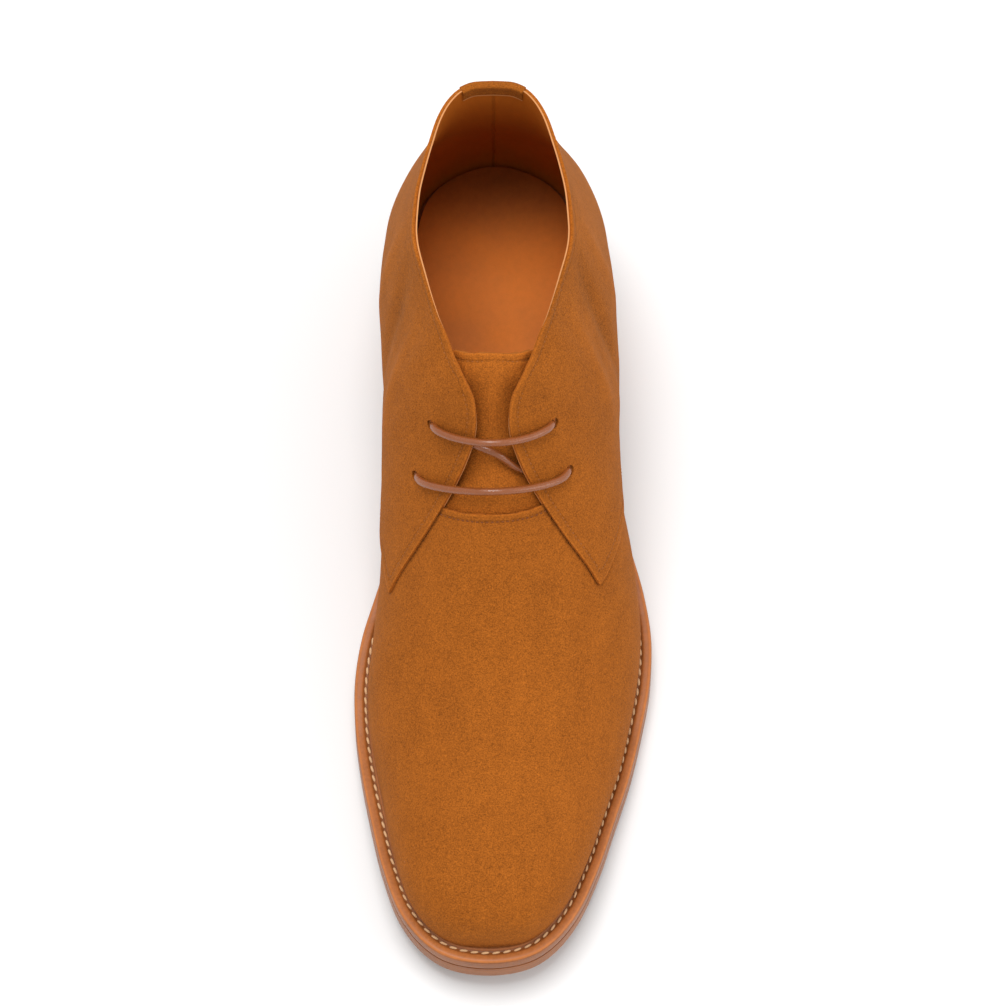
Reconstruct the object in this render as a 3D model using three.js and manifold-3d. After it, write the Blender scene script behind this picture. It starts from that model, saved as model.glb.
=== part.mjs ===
// Left chukka boot in suede on a welted leather sole.
// Millimetres, +Z up, toe towards -Y, outer side of the foot towards +X.
// The origin is under the middle of the boot, on the floor it stands on.

import * as THREE from "three";
import { mergeVertices } from "three/addons/utils/BufferGeometryUtils.js";
import Module from "manifold-3d";

const wasm = await Module();
wasm.setup();

// Driving sizes
const LENGTH = 304; // sole, back of the heel to the toe
const BALL_WIDTH = 104; // sole, at the ball of the foot
const HEEL_WIDTH = 73; // sole, at the heel
const HEEL_HEIGHT = 25.5; // floor to the outsole at the back of the heel
const TOE_SPRING = 10.9; // floor to the outsole at the toe
const COLLAR_HEIGHT = 134; // floor to the collar at the back
const OUTSOLE = 5.6; // thickness
const WELT = 5.2; // thickness
const WELT_MARGIN = 6; // welt that shows beside the upper
const WELT_WIDTH = 15;
const INSOLE = 3;
const HEEL_LENGTH = 84;
const HEEL_TAPER = 0.8; // the foot of the heel is drawn in this much at its sides
const HEEL_SWEEP = 2.6; // the foot of the heel stands this far behind the outsole
const TOE_SWELL = 1; // each layer of the sole grows this much thicker towards the toe
const RUBBER = 3.2; // rubber layer over the leather top piece
const TOP_PIECE = 4.7; // thickness of the leather top piece
const TOP_PIECE_LENGTH = 41;
const VAMP_WALL = 2.1;
const QUARTER_WALL = 2.3;
const QUARTER_STEP = 1.1; // the quarters lap this far over the vamp
const TONGUE_WALL = 2;
const LACE = 2.7; // diameter
const GAP = 0.3; // clearance between neighbours

// Outline of the sole. station is a share of the length from the heel, outer and inner are shares of the
// ball width, or of the heel width behind the arch, measured from the middle line of the boot.
const HEEL_OUTLINE = [
  { station: 0.024, outer: 0.205, inner: 0.275 },
  { station: 0.064, outer: 0.388, inner: 0.458 },
  { station: 0.13, outer: 0.463, inner: 0.532 },
  { station: 0.21, outer: 0.459, inner: 0.522 },
];
const FRONT_OUTLINE = [
  { station: 0.29, outer: 0.317, inner: 0.343 },
  { station: 0.36, outer: 0.342, inner: 0.323 },
  { station: 0.425, outer: 0.381, inner: 0.337 },
  { station: 0.483, outer: 0.431, inner: 0.378 },
  { station: 0.533, outer: 0.473, inner: 0.426 },
  { station: 0.586, outer: 0.498, inner: 0.473 },
  { station: 0.642, outer: 0.494, inner: 0.497 },
  { station: 0.701, outer: 0.464, inner: 0.494 },
  { station: 0.76, outer: 0.425, inner: 0.472 },
  { station: 0.819, outer: 0.373, inner: 0.44 },
  { station: 0.878, outer: 0.32, inner: 0.401 },
  { station: 0.936, outer: 0.249, inner: 0.342 },
  { station: 0.973, outer: 0.168, inner: 0.264 },
  { station: 0.992, outer: 0.085, inner: 0.182 },
];
const HEEL_CENTRE = -0.024; // middle of the heel, a share of the ball width
const TOE_CENTRE = -0.048; // tip of the toe, a share of the ball width

// Underside of the outsole: shares of the heel height behind the tread, of the toe spring before it
const SHANK = [
  { station: 0, rise: 1 },
  { station: 0.155, rise: 0.905 },
  { station: 0.283, rise: 0.72 },
  { station: 0.362, rise: 0.53 },
  { station: 0.412, rise: 0.37 },
  { station: 0.458, rise: 0.22 },
  { station: 0.505, rise: 0.1 },
  { station: 0.56, rise: 0 },
];
const SPRING = [
  { station: 0.71, rise: 0 },
  { station: 0.765, rise: 0.17 },
  { station: 0.813, rise: 0.34 },
  { station: 0.861, rise: 0.52 },
  { station: 0.921, rise: 0.77 },
  { station: 1, rise: 1 },
];

// Ribs of the upper. Each runs from the feather line at its station, up the side to the collar or ridge.
// top, half: where it ends, as shares of the length from the heel and of the heel width from the middle
// height: of that end, as a share of the collar height. The ends round the leg lie above the topline.
const RIB_ENDS = [
  { station: 0.032, top: 0.0755, half: 0, height: 1 },
  { station: 0.0355, top: 0.0765, half: 0.078, height: 1 },
  { station: 0.044, top: 0.0825, half: 0.145, height: 1 },
  { station: 0.059, top: 0.096, half: 0.202, height: 1 },
  { station: 0.08, top: 0.117, half: 0.248, height: 1 },
  { station: 0.11, top: 0.144, half: 0.281, height: 1 },
  { station: 0.15, top: 0.174, half: 0.312, height: 1 },
  { station: 0.2, top: 0.211, half: 0.338, height: 1 },
  { station: 0.25, top: 0.249, half: 0.352, height: 1.003 },
  { station: 0.288, top: 0.28, half: 0.347, height: 1.022 },
  { station: 0.312, top: 0.301, half: 0.333, height: 1.037 },
  { station: 0.333, top: 0.322, half: 0.306, height: 1.048 },
  { station: 0.35, top: 0.341, half: 0.266, height: 1.053 },
  { station: 0.365, top: 0.358, half: 0.217, height: 1.051 },
  { station: 0.379, top: 0.373, half: 0.152, height: 1.044 },
  { station: 0.393, top: 0.386, half: 0, height: 1.028 },
  { station: 0.41, top: 0.407, half: 0, height: 1.002 },
  { station: 0.44, top: 0.433, half: 0, height: 0.963 },
  { station: 0.475, top: 0.46, half: 0, height: 0.879 },
  { station: 0.515, top: 0.498, half: 0, height: 0.761 },
  { station: 0.565, top: 0.55, half: 0, height: 0.649 },
  { station: 0.625, top: 0.612, half: 0, height: 0.545 },
  { station: 0.7, top: 0.69, half: 0, height: 0.45 },
  { station: 0.78, top: 0.77, half: 0, height: 0.403 },
  { station: 0.855, top: 0.838, half: 0, height: 0.392 },
  { station: 0.915, top: 0.884, half: 0, height: 0.384 },
  { station: 0.95, top: 0.906, half: 0, height: 0.378 },
  { station: 0.972, top: 0.918, half: 0, height: 0.372 },
  { station: 0.9795, top: 0.923, half: 0, height: 0.369 },
];
// How the same ribs curve.
// outer, inner: how far the side bellies out past the feather line, shares of the heel width
// rise, crown, drop: the handles of the rib, as shares of its height, the heel width and its height
const RIB_SIDES = [
  { station: 0.032, outer: 0.008, inner: 0.006, rise: 0.25, crown: -0.085, drop: 0.37 },
  { station: 0.0355, outer: 0.009, inner: 0.006, rise: 0.25, crown: -0.075, drop: 0.37 },
  { station: 0.044, outer: 0.014, inner: 0.009, rise: 0.25, crown: -0.055, drop: 0.37 },
  { station: 0.059, outer: 0.026, inner: 0.022, rise: 0.25, crown: -0.02, drop: 0.38 },
  { station: 0.08, outer: 0.048, inner: 0.045, rise: 0.26, crown: 0.02, drop: 0.38 },
  { station: 0.11, outer: 0.078, inner: 0.074, rise: 0.26, crown: 0.057, drop: 0.38 },
  { station: 0.15, outer: 0.11, inner: 0.106, rise: 0.27, crown: 0.093, drop: 0.37 },
  { station: 0.2, outer: 0.143, inner: 0.139, rise: 0.27, crown: 0.13, drop: 0.37 },
  { station: 0.25, outer: 0.168, inner: 0.162, rise: 0.28, crown: 0.15, drop: 0.36 },
  { station: 0.288, outer: 0.178, inner: 0.174, rise: 0.29, crown: 0.163, drop: 0.34 },
  { station: 0.312, outer: 0.178, inner: 0.182, rise: 0.3, crown: 0.17, drop: 0.31 },
  { station: 0.333, outer: 0.171, inner: 0.188, rise: 0.31, crown: 0.176, drop: 0.27 },
  { station: 0.35, outer: 0.162, inner: 0.191, rise: 0.32, crown: 0.182, drop: 0.225 },
  { station: 0.365, outer: 0.151, inner: 0.192, rise: 0.33, crown: 0.192, drop: 0.175 },
  { station: 0.379, outer: 0.139, inner: 0.192, rise: 0.34, crown: 0.217, drop: 0.115 },
  { station: 0.393, outer: 0.126, inner: 0.191, rise: 0.35, crown: 0.4, drop: 0.055 },
  { station: 0.41, outer: 0.108, inner: 0.188, rise: 0.36, crown: 0.347, drop: 0.04 },
  { station: 0.44, outer: 0.078, inner: 0.173, rise: 0.38, crown: 0.29, drop: 0.026 },
  { station: 0.475, outer: 0.043, inner: 0.14, rise: 0.405, crown: 0.26, drop: 0.015 },
  { station: 0.515, outer: 0.02, inner: 0.092, rise: 0.43, crown: 0.262, drop: 0 },
  { station: 0.565, outer: 0.01, inner: 0.033, rise: 0.46, crown: 0.285, drop: 0 },
  { station: 0.625, outer: 0.01, inner: 0.012, rise: 0.48, crown: 0.3, drop: 0 },
  { station: 0.7, outer: 0.01, inner: 0.01, rise: 0.5, crown: 0.32, drop: 0 },
  { station: 0.78, outer: 0.01, inner: 0.01, rise: 0.53, crown: 0.34, drop: 0 },
  { station: 0.855, outer: 0.012, inner: 0.012, rise: 0.56, crown: 0.33, drop: 0 },
  { station: 0.915, outer: 0.012, inner: 0.012, rise: 0.57, crown: 0.28, drop: 0 },
  { station: 0.95, outer: 0.01, inner: 0.01, rise: 0.57, crown: 0.24, drop: 0.01 },
  { station: 0.972, outer: 0.008, inner: 0.008, rise: 0.57, crown: 0.215, drop: 0.02 },
  { station: 0.9795, outer: 0.0065, inner: 0.0065, rise: 0.57, crown: 0.205, drop: 0.03 },
];
const RIBS = RIB_ENDS.map((row, i) => ({ ...row, ...RIB_SIDES[i] }));

// Upper edge of the collar seen from the side, back to front. The ribs run past it. height is a share of
// the collar height.
const TOPLINE = [
  { station: -0.1, height: 1.003 },
  { station: 0.07, height: 0.996 },
  { station: 0.15, height: 0.98 },
  { station: 0.25, height: 0.966 },
  { station: 0.36, height: 0.966 },
  { station: 0.4, height: 0.98 },
  { station: 0.43, height: 1 },
];
const RIDGE_CENTRE = -0.034; // middle line of the instep, a share of the ball width

// Free edges of the facings, from the collar to the tip of the tab, seen from above. half is a share of
// the heel width from the middle line of the instep.
const FACING_EDGE = [
  { station: 0.325, half: 0.335 },
  { station: 0.372, half: 0.25 },
  { station: 0.405, half: 0.186 },
  { station: 0.427, half: 0.13 },
  { station: 0.448, half: 0.088 },
  { station: 0.47, half: 0.084 },
  { station: 0.492, half: 0.13 },
  { station: 0.518, half: 0.215 },
  { station: 0.548, half: 0.34 },
  { station: 0.572, half: 0.46 },
  { station: 0.584, half: 0.52 },
];
const THROAT = 0.542; // middle of the vamp's edge under the lace, a share of the length
const THROAT_BOW = 3; // how far that edge bows towards the toe under the free edges
const THROAT_HALF = 26; // half width of that edge

// Front edge of the quarters seen from the side, from the tab down to the feather line.
// height is a share of the collar height.
const QUARTER_FRONT = [
  { station: 0.581, height: 0.47 },
  { station: 0.58, height: 0.44 },
  { station: 0.572, height: 0.422 },
  { station: 0.545, height: 0.41 },
  { station: 0.493, height: 0.384 },
  { station: 0.447, height: 0.35 },
  { station: 0.398, height: 0.287 },
  { station: 0.355, height: 0.22 },
  { station: 0.31, height: 0.1 },
];

// Outline of the vamp seen from the side: its back edge is hidden under the quarters
const VAMP_BACK = [
  { station: 0.52, height: 2 },
  { station: 0.52, height: 0.62 },
  { station: 0.47, height: 0.47 },
  { station: 0.38, height: 0.34 },
  { station: 0.27, height: 0.18 },
  { station: 0.27, height: 0 },
  { station: 1.1, height: 0 },
  { station: 1.1, height: 2 },
];

// How deep the tongue lies under the upper's surface along the boot
const TONGUE_DEPTH = [
  { station: 0.4, depth: 1.6 },
  { station: 0.42, depth: 2.8 },
  { station: 0.44, depth: 4.9 },
  { station: 0.514, depth: 4.9 },
  { station: 0.53, depth: 3.2 },
  { station: 0.55, depth: 2.5 },
];
// Outline of the tongue in plan, top to bottom. half is a share of the heel width.
const TONGUE_PLAN = [
  { station: 0.401, half: 0.05 },
  { station: 0.397, half: 0.13 },
  { station: 0.389, half: 0.2 },
  { station: 0.391, half: 0.235 },
  { station: 0.505, half: 0.235 },
  { station: 0.54, half: 0.37 },
  { station: 0.6, half: 0.37 },
];

// Route of the lace. across is a share of the heel width from the middle line of the instep, station a
// share of the length, lift the height of its middle over the upper's surface.
const LACE_ROUTE = [
  { across: 0.31, station: 0.452, lift: -4.2 },
  { across: 0.285, station: 0.449, lift: -2.6 },
  { across: 0.272, station: 0.449, lift: 0.4 },
  { across: 0.235, station: 0.455, lift: 2.6 },
  { across: 0.14, station: 0.468, lift: 3 },
  { across: 0, station: 0.477, lift: 2.9 },
  { across: -0.14, station: 0.468, lift: 3 },
  { across: -0.235, station: 0.455, lift: 2.6 },
  { across: -0.272, station: 0.449, lift: 0.4 },
  { across: -0.262, station: 0.453, lift: -2.6 },
  { across: -0.2, station: 0.467, lift: -2.9 },
  { across: -0.09, station: 0.482, lift: -2.6 },
  { across: 0.03, station: 0.492, lift: -2.6 },
  { across: 0.13, station: 0.498, lift: -2.9 },
  { across: 0.27, station: 0.495, lift: -2.9 },
  { across: 0.335, station: 0.488, lift: -2.4 },
  { across: 0.347, station: 0.484, lift: 0.4 },
  { across: 0.305, station: 0.493, lift: 2.6 },
  { across: 0.19, station: 0.508, lift: 3 },
  { across: 0, station: 0.518, lift: 2.9 },
  { across: -0.19, station: 0.508, lift: 3 },
  { across: -0.305, station: 0.493, lift: 2.6 },
  { across: -0.347, station: 0.484, lift: 0.4 },
  { across: -0.35, station: 0.482, lift: -2.6 },
  { across: -0.38, station: 0.476, lift: -4.2 },
];

// Fineness of the meshes
const OUTLINE_STEPS = 36; // along each side of the boot
const RIB_STEPS = 11;
const LACE_STEPS = 78;
const LACE_SIDES = 8;

const suede = new THREE.MeshStandardMaterial({ color: 0xb0631f, roughness: 0.95 });
const tongueSuede = new THREE.MeshStandardMaterial({ color: 0xa86023, roughness: 0.95 });
const weltLeather = new THREE.MeshStandardMaterial({ color: 0xc98a55, roughness: 0.55 });
const soleLeather = new THREE.MeshStandardMaterial({ color: 0xbd7f4d, roughness: 0.55 });
const stackLeather = new THREE.MeshStandardMaterial({ color: 0xb87645, roughness: 0.5 });
const topLeather = new THREE.MeshStandardMaterial({ color: 0xac7650, roughness: 0.6 });
const liningLeather = new THREE.MeshStandardMaterial({ color: 0xa8622c, roughness: 0.6 });
const rubber = new THREE.MeshStandardMaterial({ color: 0x2b2b2a, roughness: 0.8 });
const laceLeather = new THREE.MeshStandardMaterial({ color: 0xa86c42, roughness: 0.5 });

// Smooth reader of one column of a table: cubic between the rows, never past them
function column(rows, key) {
  const at = rows.map((row) => row.station);
  const value = rows.map((row) => row[key]);
  const steps = value.slice(1).map((v, i) => (v - value[i]) / (at[i + 1] - at[i]));
  const slope = value.map((_, i) => {
    const before = steps[Math.max(i - 1, 0)];
    const after = steps[Math.min(i, steps.length - 1)];
    return before * after > 0 ? (2 * before * after) / (before + after) : 0;
  });
  return (station) => {
    if (station <= at[0]) return value[0];
    if (station >= at[at.length - 1]) return value[value.length - 1];
    const i = at.findIndex((s) => s > station) - 1;
    const width = at[i + 1] - at[i];
    const t = (station - at[i]) / width;
    const bend = t * t * (3 - 2 * t);
    const start = t * (1 - t) * (1 - t) * width * slope[i];
    const end = t * t * (t - 1) * width * slope[i + 1];
    return value[i] + (value[i + 1] - value[i]) * bend + start + end;
  };
}

const shank = column(SHANK, "rise");
const spring = column(SPRING, "rise");
const stationOf = (y) => 0.5 - y / LENGTH;
const alongOf = (station) => (0.5 - station) * LENGTH;

// Heights of the layers of the sole, each following the curve of the underside
function underside(y) {
  const station = stationOf(y);
  return shank(station) * HEEL_HEIGHT + spring(station) * TOE_SPRING;
}
const swell = (y) => TOE_SWELL * spring(stationOf(y));
const outsoleTop = (y) => underside(y) + OUTSOLE + swell(y);
const weltBottom = (y) => outsoleTop(y) + GAP;
const weltTop = (y) => weltBottom(y) + WELT + swell(y);
const featherHeight = (y) => weltTop(y) + GAP;

// Sole outline as a closed loop of plan points: heel, outer side, toe, inner side
function soleLoop() {
  const rows = [
    ...HEEL_OUTLINE.map((row) => ({ ...row, width: HEEL_WIDTH })),
    ...FRONT_OUTLINE.map((row) => ({ ...row, width: BALL_WIDTH })),
  ];
  const outer = rows.map((row) => new THREE.Vector3(row.outer * row.width, alongOf(row.station), 0));
  const inner = rows.map((row) => new THREE.Vector3(-row.inner * row.width, alongOf(row.station), 0));
  const heel = new THREE.Vector3(HEEL_CENTRE * BALL_WIDTH, alongOf(0) - HEEL_SWEEP, 0);
  const toe = new THREE.Vector3(TOE_CENTRE * BALL_WIDTH, alongOf(1), 0);
  const curve = new THREE.CatmullRomCurve3([heel, ...outer, toe, ...inner.reverse()], true, "centripetal");
  const count = 2 * OUTLINE_STEPS;
  return Array.from({ length: count }, (_, i) => curve.getPoint(i / count));
}

// The loop moved inwards, square to itself, by a distance or a function of y
function inset(loop, depth) {
  return loop.map((point, i) => {
    const distance = typeof depth === "function" ? depth(point.y) : depth;
    const before = loop[(i + loop.length - 1) % loop.length];
    const after = loop[(i + 1) % loop.length];
    const along = new THREE.Vector3().subVectors(after, before).normalize();
    return new THREE.Vector3(point.x - along.y * -distance, point.y - along.x * distance, 0);
  });
}

function meshGeometry(vertices, triangles) {
  const geometry = new THREE.BufferGeometry();
  const flat = vertices.flatMap((v) => [v.x, v.y, v.z]);
  geometry.setAttribute("position", new THREE.Float32BufferAttribute(flat, 3));
  geometry.setIndex(triangles.flat());
  return mergeVertices(geometry, 1e-4);
}

const ringPoints = ({ loop, height }) => loop.map((p) => new THREE.Vector3(p.x, p.y, height(p.y)));

// Closed slab through rings of one loop, each ring with its own inset and height function.
// Its two faces are strips across the boot, from the outer side to the inner side.
function slab(rings) {
  const size = rings[0].loop.length;
  const vertices = rings.flatMap(ringPoints);
  const triangles = [];
  for (let ring = 0; ring + 1 < rings.length; ring += 1) {
    for (let i = 0; i < size; i += 1) {
      const a = ring * size + i;
      const b = ring * size + ((i + 1) % size);
      triangles.push([a, a + size, b], [b, a + size, b + size]);
    }
  }
  const last = (rings.length - 1) * size;
  for (let i = 0; i < size / 2; i += 1) {
    const [a, b] = [i, i + 1];
    const [c, d] = [(size - i) % size, size - i - 1];
    if (c !== a) triangles.push([a, b, c], [last + a, last + c, last + b]);
    if (b !== d) triangles.push([b, d, c], [last + b, last + c, last + d]);
  }
  return meshGeometry(vertices, triangles);
}

// Closed ring through a section that closes on itself
function hoop(rings) {
  const size = rings[0].loop.length;
  const vertices = rings.flatMap(ringPoints);
  const triangles = [];
  rings.forEach((_, ring) => {
    const next = (ring + 1) % rings.length;
    for (let i = 0; i < size; i += 1) {
      const j = (i + 1) % size;
      const [a, b] = [ring * size + i, ring * size + j];
      const [c, d] = [next * size + i, next * size + j];
      triangles.push([a, c, b], [b, c, d]);
    }
  });
  return meshGeometry(vertices, triangles);
}

function toSolid(geometry) {
  const bare = geometry.clone();
  bare.deleteAttribute("normal");
  bare.deleteAttribute("uv");
  const merged = mergeVertices(bare, 1e-4);
  const vertProperties = Float32Array.from(merged.attributes.position.array);
  const triVerts = Uint32Array.from(merged.index.array);
  return new wasm.Manifold(new wasm.Mesh({ numProp: 3, vertProperties, triVerts }));
}

function toGeometry(solid) {
  const mesh = solid.getMesh();
  const geometry = new THREE.BufferGeometry();
  geometry.setAttribute("position", new THREE.Float32BufferAttribute(mesh.vertProperties, 3));
  geometry.setIndex(Array.from(mesh.triVerts));
  return geometry;
}

// Upright prism over a plan outline of [x, y] points
function uprightPrism(points, bottom, top) {
  const shape = new THREE.Shape(points.map(([x, y]) => new THREE.Vector2(x, y)));
  const geometry = new THREE.ExtrudeGeometry(shape, { depth: top - bottom, bevelEnabled: false });
  return toSolid(geometry.translate(0, 0, bottom));
}

// Prism across the whole boot over a side outline of [y, z] points
function crossPrism(points) {
  const shape = new THREE.Shape(points.map(([y, z]) => new THREE.Vector2(y, z)));
  const geometry = new THREE.ExtrudeGeometry(shape, { depth: 2 * BALL_WIDTH, bevelEnabled: false });
  const upright = new THREE.Matrix4().makeBasis(
    new THREE.Vector3(0, 1, 0),
    new THREE.Vector3(0, 0, 1),
    new THREE.Vector3(1, 0, 0),
  );
  return toSolid(geometry.applyMatrix4(upright).translate(-BALL_WIDTH, 0, 0));
}

// How far the upper stands in from the edge of the sole: more where its outside is the lapping quarter
function footMargin(station) {
  const lapped = THREE.MathUtils.smoothstep(station, 0.42, 0.52);
  return WELT_MARGIN + QUARTER_STEP * (1 - lapped);
}

const sole = soleLoop();
const feather = inset(sole, (y) => footMargin(stationOf(y)));

// A rib is a cubic from the feather line to its end on the collar or the ridge. The ribs of the two
// sides stand in pairs, so that they meet on the ridge. Between the rows they are read by row number.
const byRow = RIBS.map((row, number) => ({ ...row, station: number }));
const rib = Object.fromEntries(Object.keys(RIBS[0]).map((key) => [key, column(byRow, key)]));
const RIB_FOOT = 3; // ribs start this far below the top of the welt and are trimmed to it
const RIB_SPACING = 7.5;

// foot: where the rib starts; out: outward direction in plan there. The belly is a third of the way up.
function ribCurve(foot, out, row, side) {
  const bottom = featherHeight(foot.y) - RIB_FOOT;
  const top = rib.height(row) * COLLAR_HEIGHT;
  const half = rib.half(row) * HEEL_WIDTH * side;
  const end = new THREE.Vector3(RIDGE_CENTRE * BALL_WIDTH + half, alongOf(rib.top(row)), top);
  const reach = (end.x - foot.x) * out.x + (end.y - foot.y) * out.y;
  const tall = top - bottom;
  const crown = rib.crown(row) * HEEL_WIDTH;
  const spread = rib[side > 0 ? "outer" : "inner"](row) * HEEL_WIDTH;
  const belly = (27 * spread - 6 * (reach + crown) - reach) / 12;
  const start = new THREE.Vector3(foot.x, foot.y, bottom);
  const low = start.clone().addScaledVector(out, belly).setZ(bottom + rib.rise(row) * tall);
  const high = end.clone().addScaledVector(out, crown).setZ(top - rib.drop(row) * tall);
  return new THREE.CubicBezierCurve3(start, low, high, end);
}

// Where the feather line reaches a station, between two parameters of its curve
function featherAt(curve, station, heelEnd, toeEnd) {
  let [near, far] = [heelEnd, toeEnd];
  for (let i = 0; i < 40; i += 1) {
    const middle = (near + far) / 2;
    if (stationOf(curve.getPoint(middle).y) < station) near = middle;
    else far = middle;
  }
  return near;
}

// Ribs of one side from heel to toe, closer together where the rows of the table are
function sideRibs(side) {
  const curve = new THREE.CatmullRomCurve3(feather, true, "centripetal");
  const [heelEnd, toeEnd] = [side > 0 ? 0 : 1, 0.5];
  const ends = RIBS.map((row) => featherAt(curve, row.station, heelEnd, toeEnd));
  [ends[0], ends[RIBS.length - 1]] = [heelEnd, toeEnd];
  const ribs = [];
  const ribAt = (t, row) => {
    const along = curve.getTangent(t);
    return ribCurve(curve.getPoint(t), new THREE.Vector3(-along.y, along.x, 0), row, side);
  };
  for (let row = 0; row + 1 < RIBS.length; row += 1) {
    const span = (RIBS[row + 1].station - RIBS[row].station) * LENGTH;
    const steps = Math.max(1, Math.round(span / RIB_SPACING));
    for (let k = 0; k < steps; k += 1) {
      ribs.push(ribAt(THREE.MathUtils.lerp(ends[row], ends[row + 1], k / steps), row + k / steps));
    }
  }
  ribs.push(ribAt(toeEnd, RIBS.length - 1));
  return ribs;
}

// Outer surface of the upper before it is cut, open at the feather line and at the collar
function lastSurface() {
  const ribs = [...sideRibs(1), ...sideRibs(-1).reverse().slice(1, -1)];
  const vertices = ribs.flatMap((curve) => curve.getPoints(RIB_STEPS));
  const row = RIB_STEPS + 1;
  const triangles = [];
  ribs.forEach((_, i) => {
    const next = (i + 1) % ribs.length;
    for (let j = 0; j < RIB_STEPS; j += 1) {
      const [a, b] = [i * row + j, i * row + j + 1];
      const [c, d] = [next * row + j, next * row + j + 1];
      triangles.push([a, b, c], [c, b, d]);
    }
  });
  const merged = meshGeometry(vertices, triangles);
  const kept = [];
  const index = merged.index.array;
  for (let i = 0; i < index.length; i += 3) {
    const [a, b, c] = [index[i], index[i + 1], index[i + 2]];
    if (a !== b && b !== c && c !== a) kept.push(a, b, c);
  }
  merged.setIndex(kept);
  merged.computeVertexNormals();
  return merged;
}

const last = lastSurface();

// Closed wall between two depths under the last surface, each a number or a function of y
function wall(near, far) {
  const position = last.attributes.position;
  const normal = last.attributes.normal;
  const count = position.count;
  const depthAt = (depth, y) => (typeof depth === "function" ? depth(y) : depth);
  const vertices = [near, far].flatMap((depth) =>
    Array.from({ length: count }, (_, i) => {
      const point = new THREE.Vector3().fromBufferAttribute(position, i);
      const out = new THREE.Vector3().fromBufferAttribute(normal, i);
      return point.addScaledVector(out, -depthAt(depth, point.y));
    }),
  );
  const index = last.index.array;
  const triangles = [];
  const edges = new Map();
  for (let i = 0; i < index.length; i += 3) {
    const face = [index[i], index[i + 1], index[i + 2]];
    triangles.push(face, [face[0] + count, face[2] + count, face[1] + count]);
    face.forEach((a, k) => edges.set(`${a},${face[(k + 1) % 3]}`, [a, face[(k + 1) % 3]]));
  }
  edges.forEach(([a, b]) => {
    if (edges.has(`${b},${a}`)) return;
    triangles.push([a, a + count, b], [b, a + count, b + count]);
  });
  return toSolid(meshGeometry(vertices, triangles));
}

// Highest point of the last surface over a place in plan, with its outward normal
function surfaceAt(x, y) {
  const ray = new THREE.Raycaster(new THREE.Vector3(x, y, 2 * COLLAR_HEIGHT), new THREE.Vector3(0, 0, -1));
  const mesh = new THREE.Mesh(last, new THREE.MeshBasicMaterial({ side: THREE.DoubleSide }));
  return ray.intersectObject(mesh)[0];
}

function lacePoint({ across, station, lift }) {
  const { point, normal } = surfaceAt(RIDGE_CENTRE * BALL_WIDTH + across * HEEL_WIDTH, alongOf(station));
  return point.clone().addScaledVector(normal, lift);
}

// Round cord along the lace's route
function cord(radius) {
  const route = new THREE.CatmullRomCurve3(LACE_ROUTE.map(lacePoint), false, "centripetal");
  const section = new THREE.Shape();
  for (let i = 0; i < LACE_SIDES; i += 1) {
    const turn = (2 * Math.PI * i) / LACE_SIDES;
    const [u, v] = [radius * Math.cos(turn), radius * Math.sin(turn)];
    if (i === 0) section.moveTo(u, v);
    else section.lineTo(u, v);
  }
  section.closePath();
  return new THREE.ExtrudeGeometry(section, { steps: LACE_STEPS, extrudePath: route, bevelEnabled: false });
}

// Plan outline between the free edges of the facings, closed across at the given front
function throatPlan(front) {
  const middle = RIDGE_CENTRE * BALL_WIDTH;
  const edge = FACING_EDGE.map(({ station, half }) => [half * HEEL_WIDTH, alongOf(station)]);
  return [
    ...edge.map(([half, y]) => [middle + half, y]),
    ...front,
    ...edge.reverse().map(([half, y]) => [middle - half, y]),
  ];
}

const ABOVE = 2 * COLLAR_HEIGHT;

// Everything in front of and below the topline
function belowTopline() {
  const edge = TOPLINE.map(({ station, height }) => [alongOf(station), height * COLLAR_HEIGHT]);
  const [back, front] = [edge[0][0], alongOf(1.1)];
  return crossPrism([...edge, [front, edge.at(-1)[1]], [front, -HEEL_HEIGHT], [back, -HEEL_HEIGHT]]);
}

function upperSolid() {
  const middle = RIDGE_CENTRE * BALL_WIDTH;
  const ahead = alongOf(1.1);
  const wide = throatPlan([[middle + BALL_WIDTH, ahead], [middle - BALL_WIDTH, ahead]]);
  const front = QUARTER_FRONT.map(({ station, height }) => [alongOf(station), height * COLLAR_HEIGHT]);
  const rear = alongOf(-0.1);
  const side = [
    [front[0][0], ABOVE],
    ...front,
    [front.at(-1)[0], 0],
    [rear, 0],
    [rear, ABOVE],
  ];
  const quarters = wall(-QUARTER_STEP, QUARTER_WALL - QUARTER_STEP)
    .intersect(crossPrism(side))
    .subtract(uprightPrism(wide, 0, ABOVE));
  const bow = Array.from({ length: 9 }, (_, i) => {
    const w = 1 - i / 4;
    return [middle + w * THROAT_HALF, alongOf(THROAT) + THROAT_BOW * w * w * 4];
  });
  const corners = [middle + BALL_WIDTH, middle - BALL_WIDTH].map((x) => [x, rear]);
  const gape = uprightPrism([corners[0], ...bow, corners[1]], COLLAR_HEIGHT / 2, ABOVE);
  const vamp = wall(0, VAMP_WALL)
    .intersect(crossPrism(VAMP_BACK.map(({ station, height }) => [alongOf(station), height * COLLAR_HEIGHT])))
    .subtract(gape);
  const floor = toSolid(slab([
    { loop: inset(sole, -WELT_WIDTH), height: () => -WELT_WIDTH },
    { loop: inset(sole, -WELT_WIDTH), height: featherHeight },
  ]));
  return vamp
    .add(quarters)
    .intersect(belowTopline())
    .subtract(floor)
    .subtract(toSolid(cord(LACE / 2 + GAP)));
}

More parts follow.
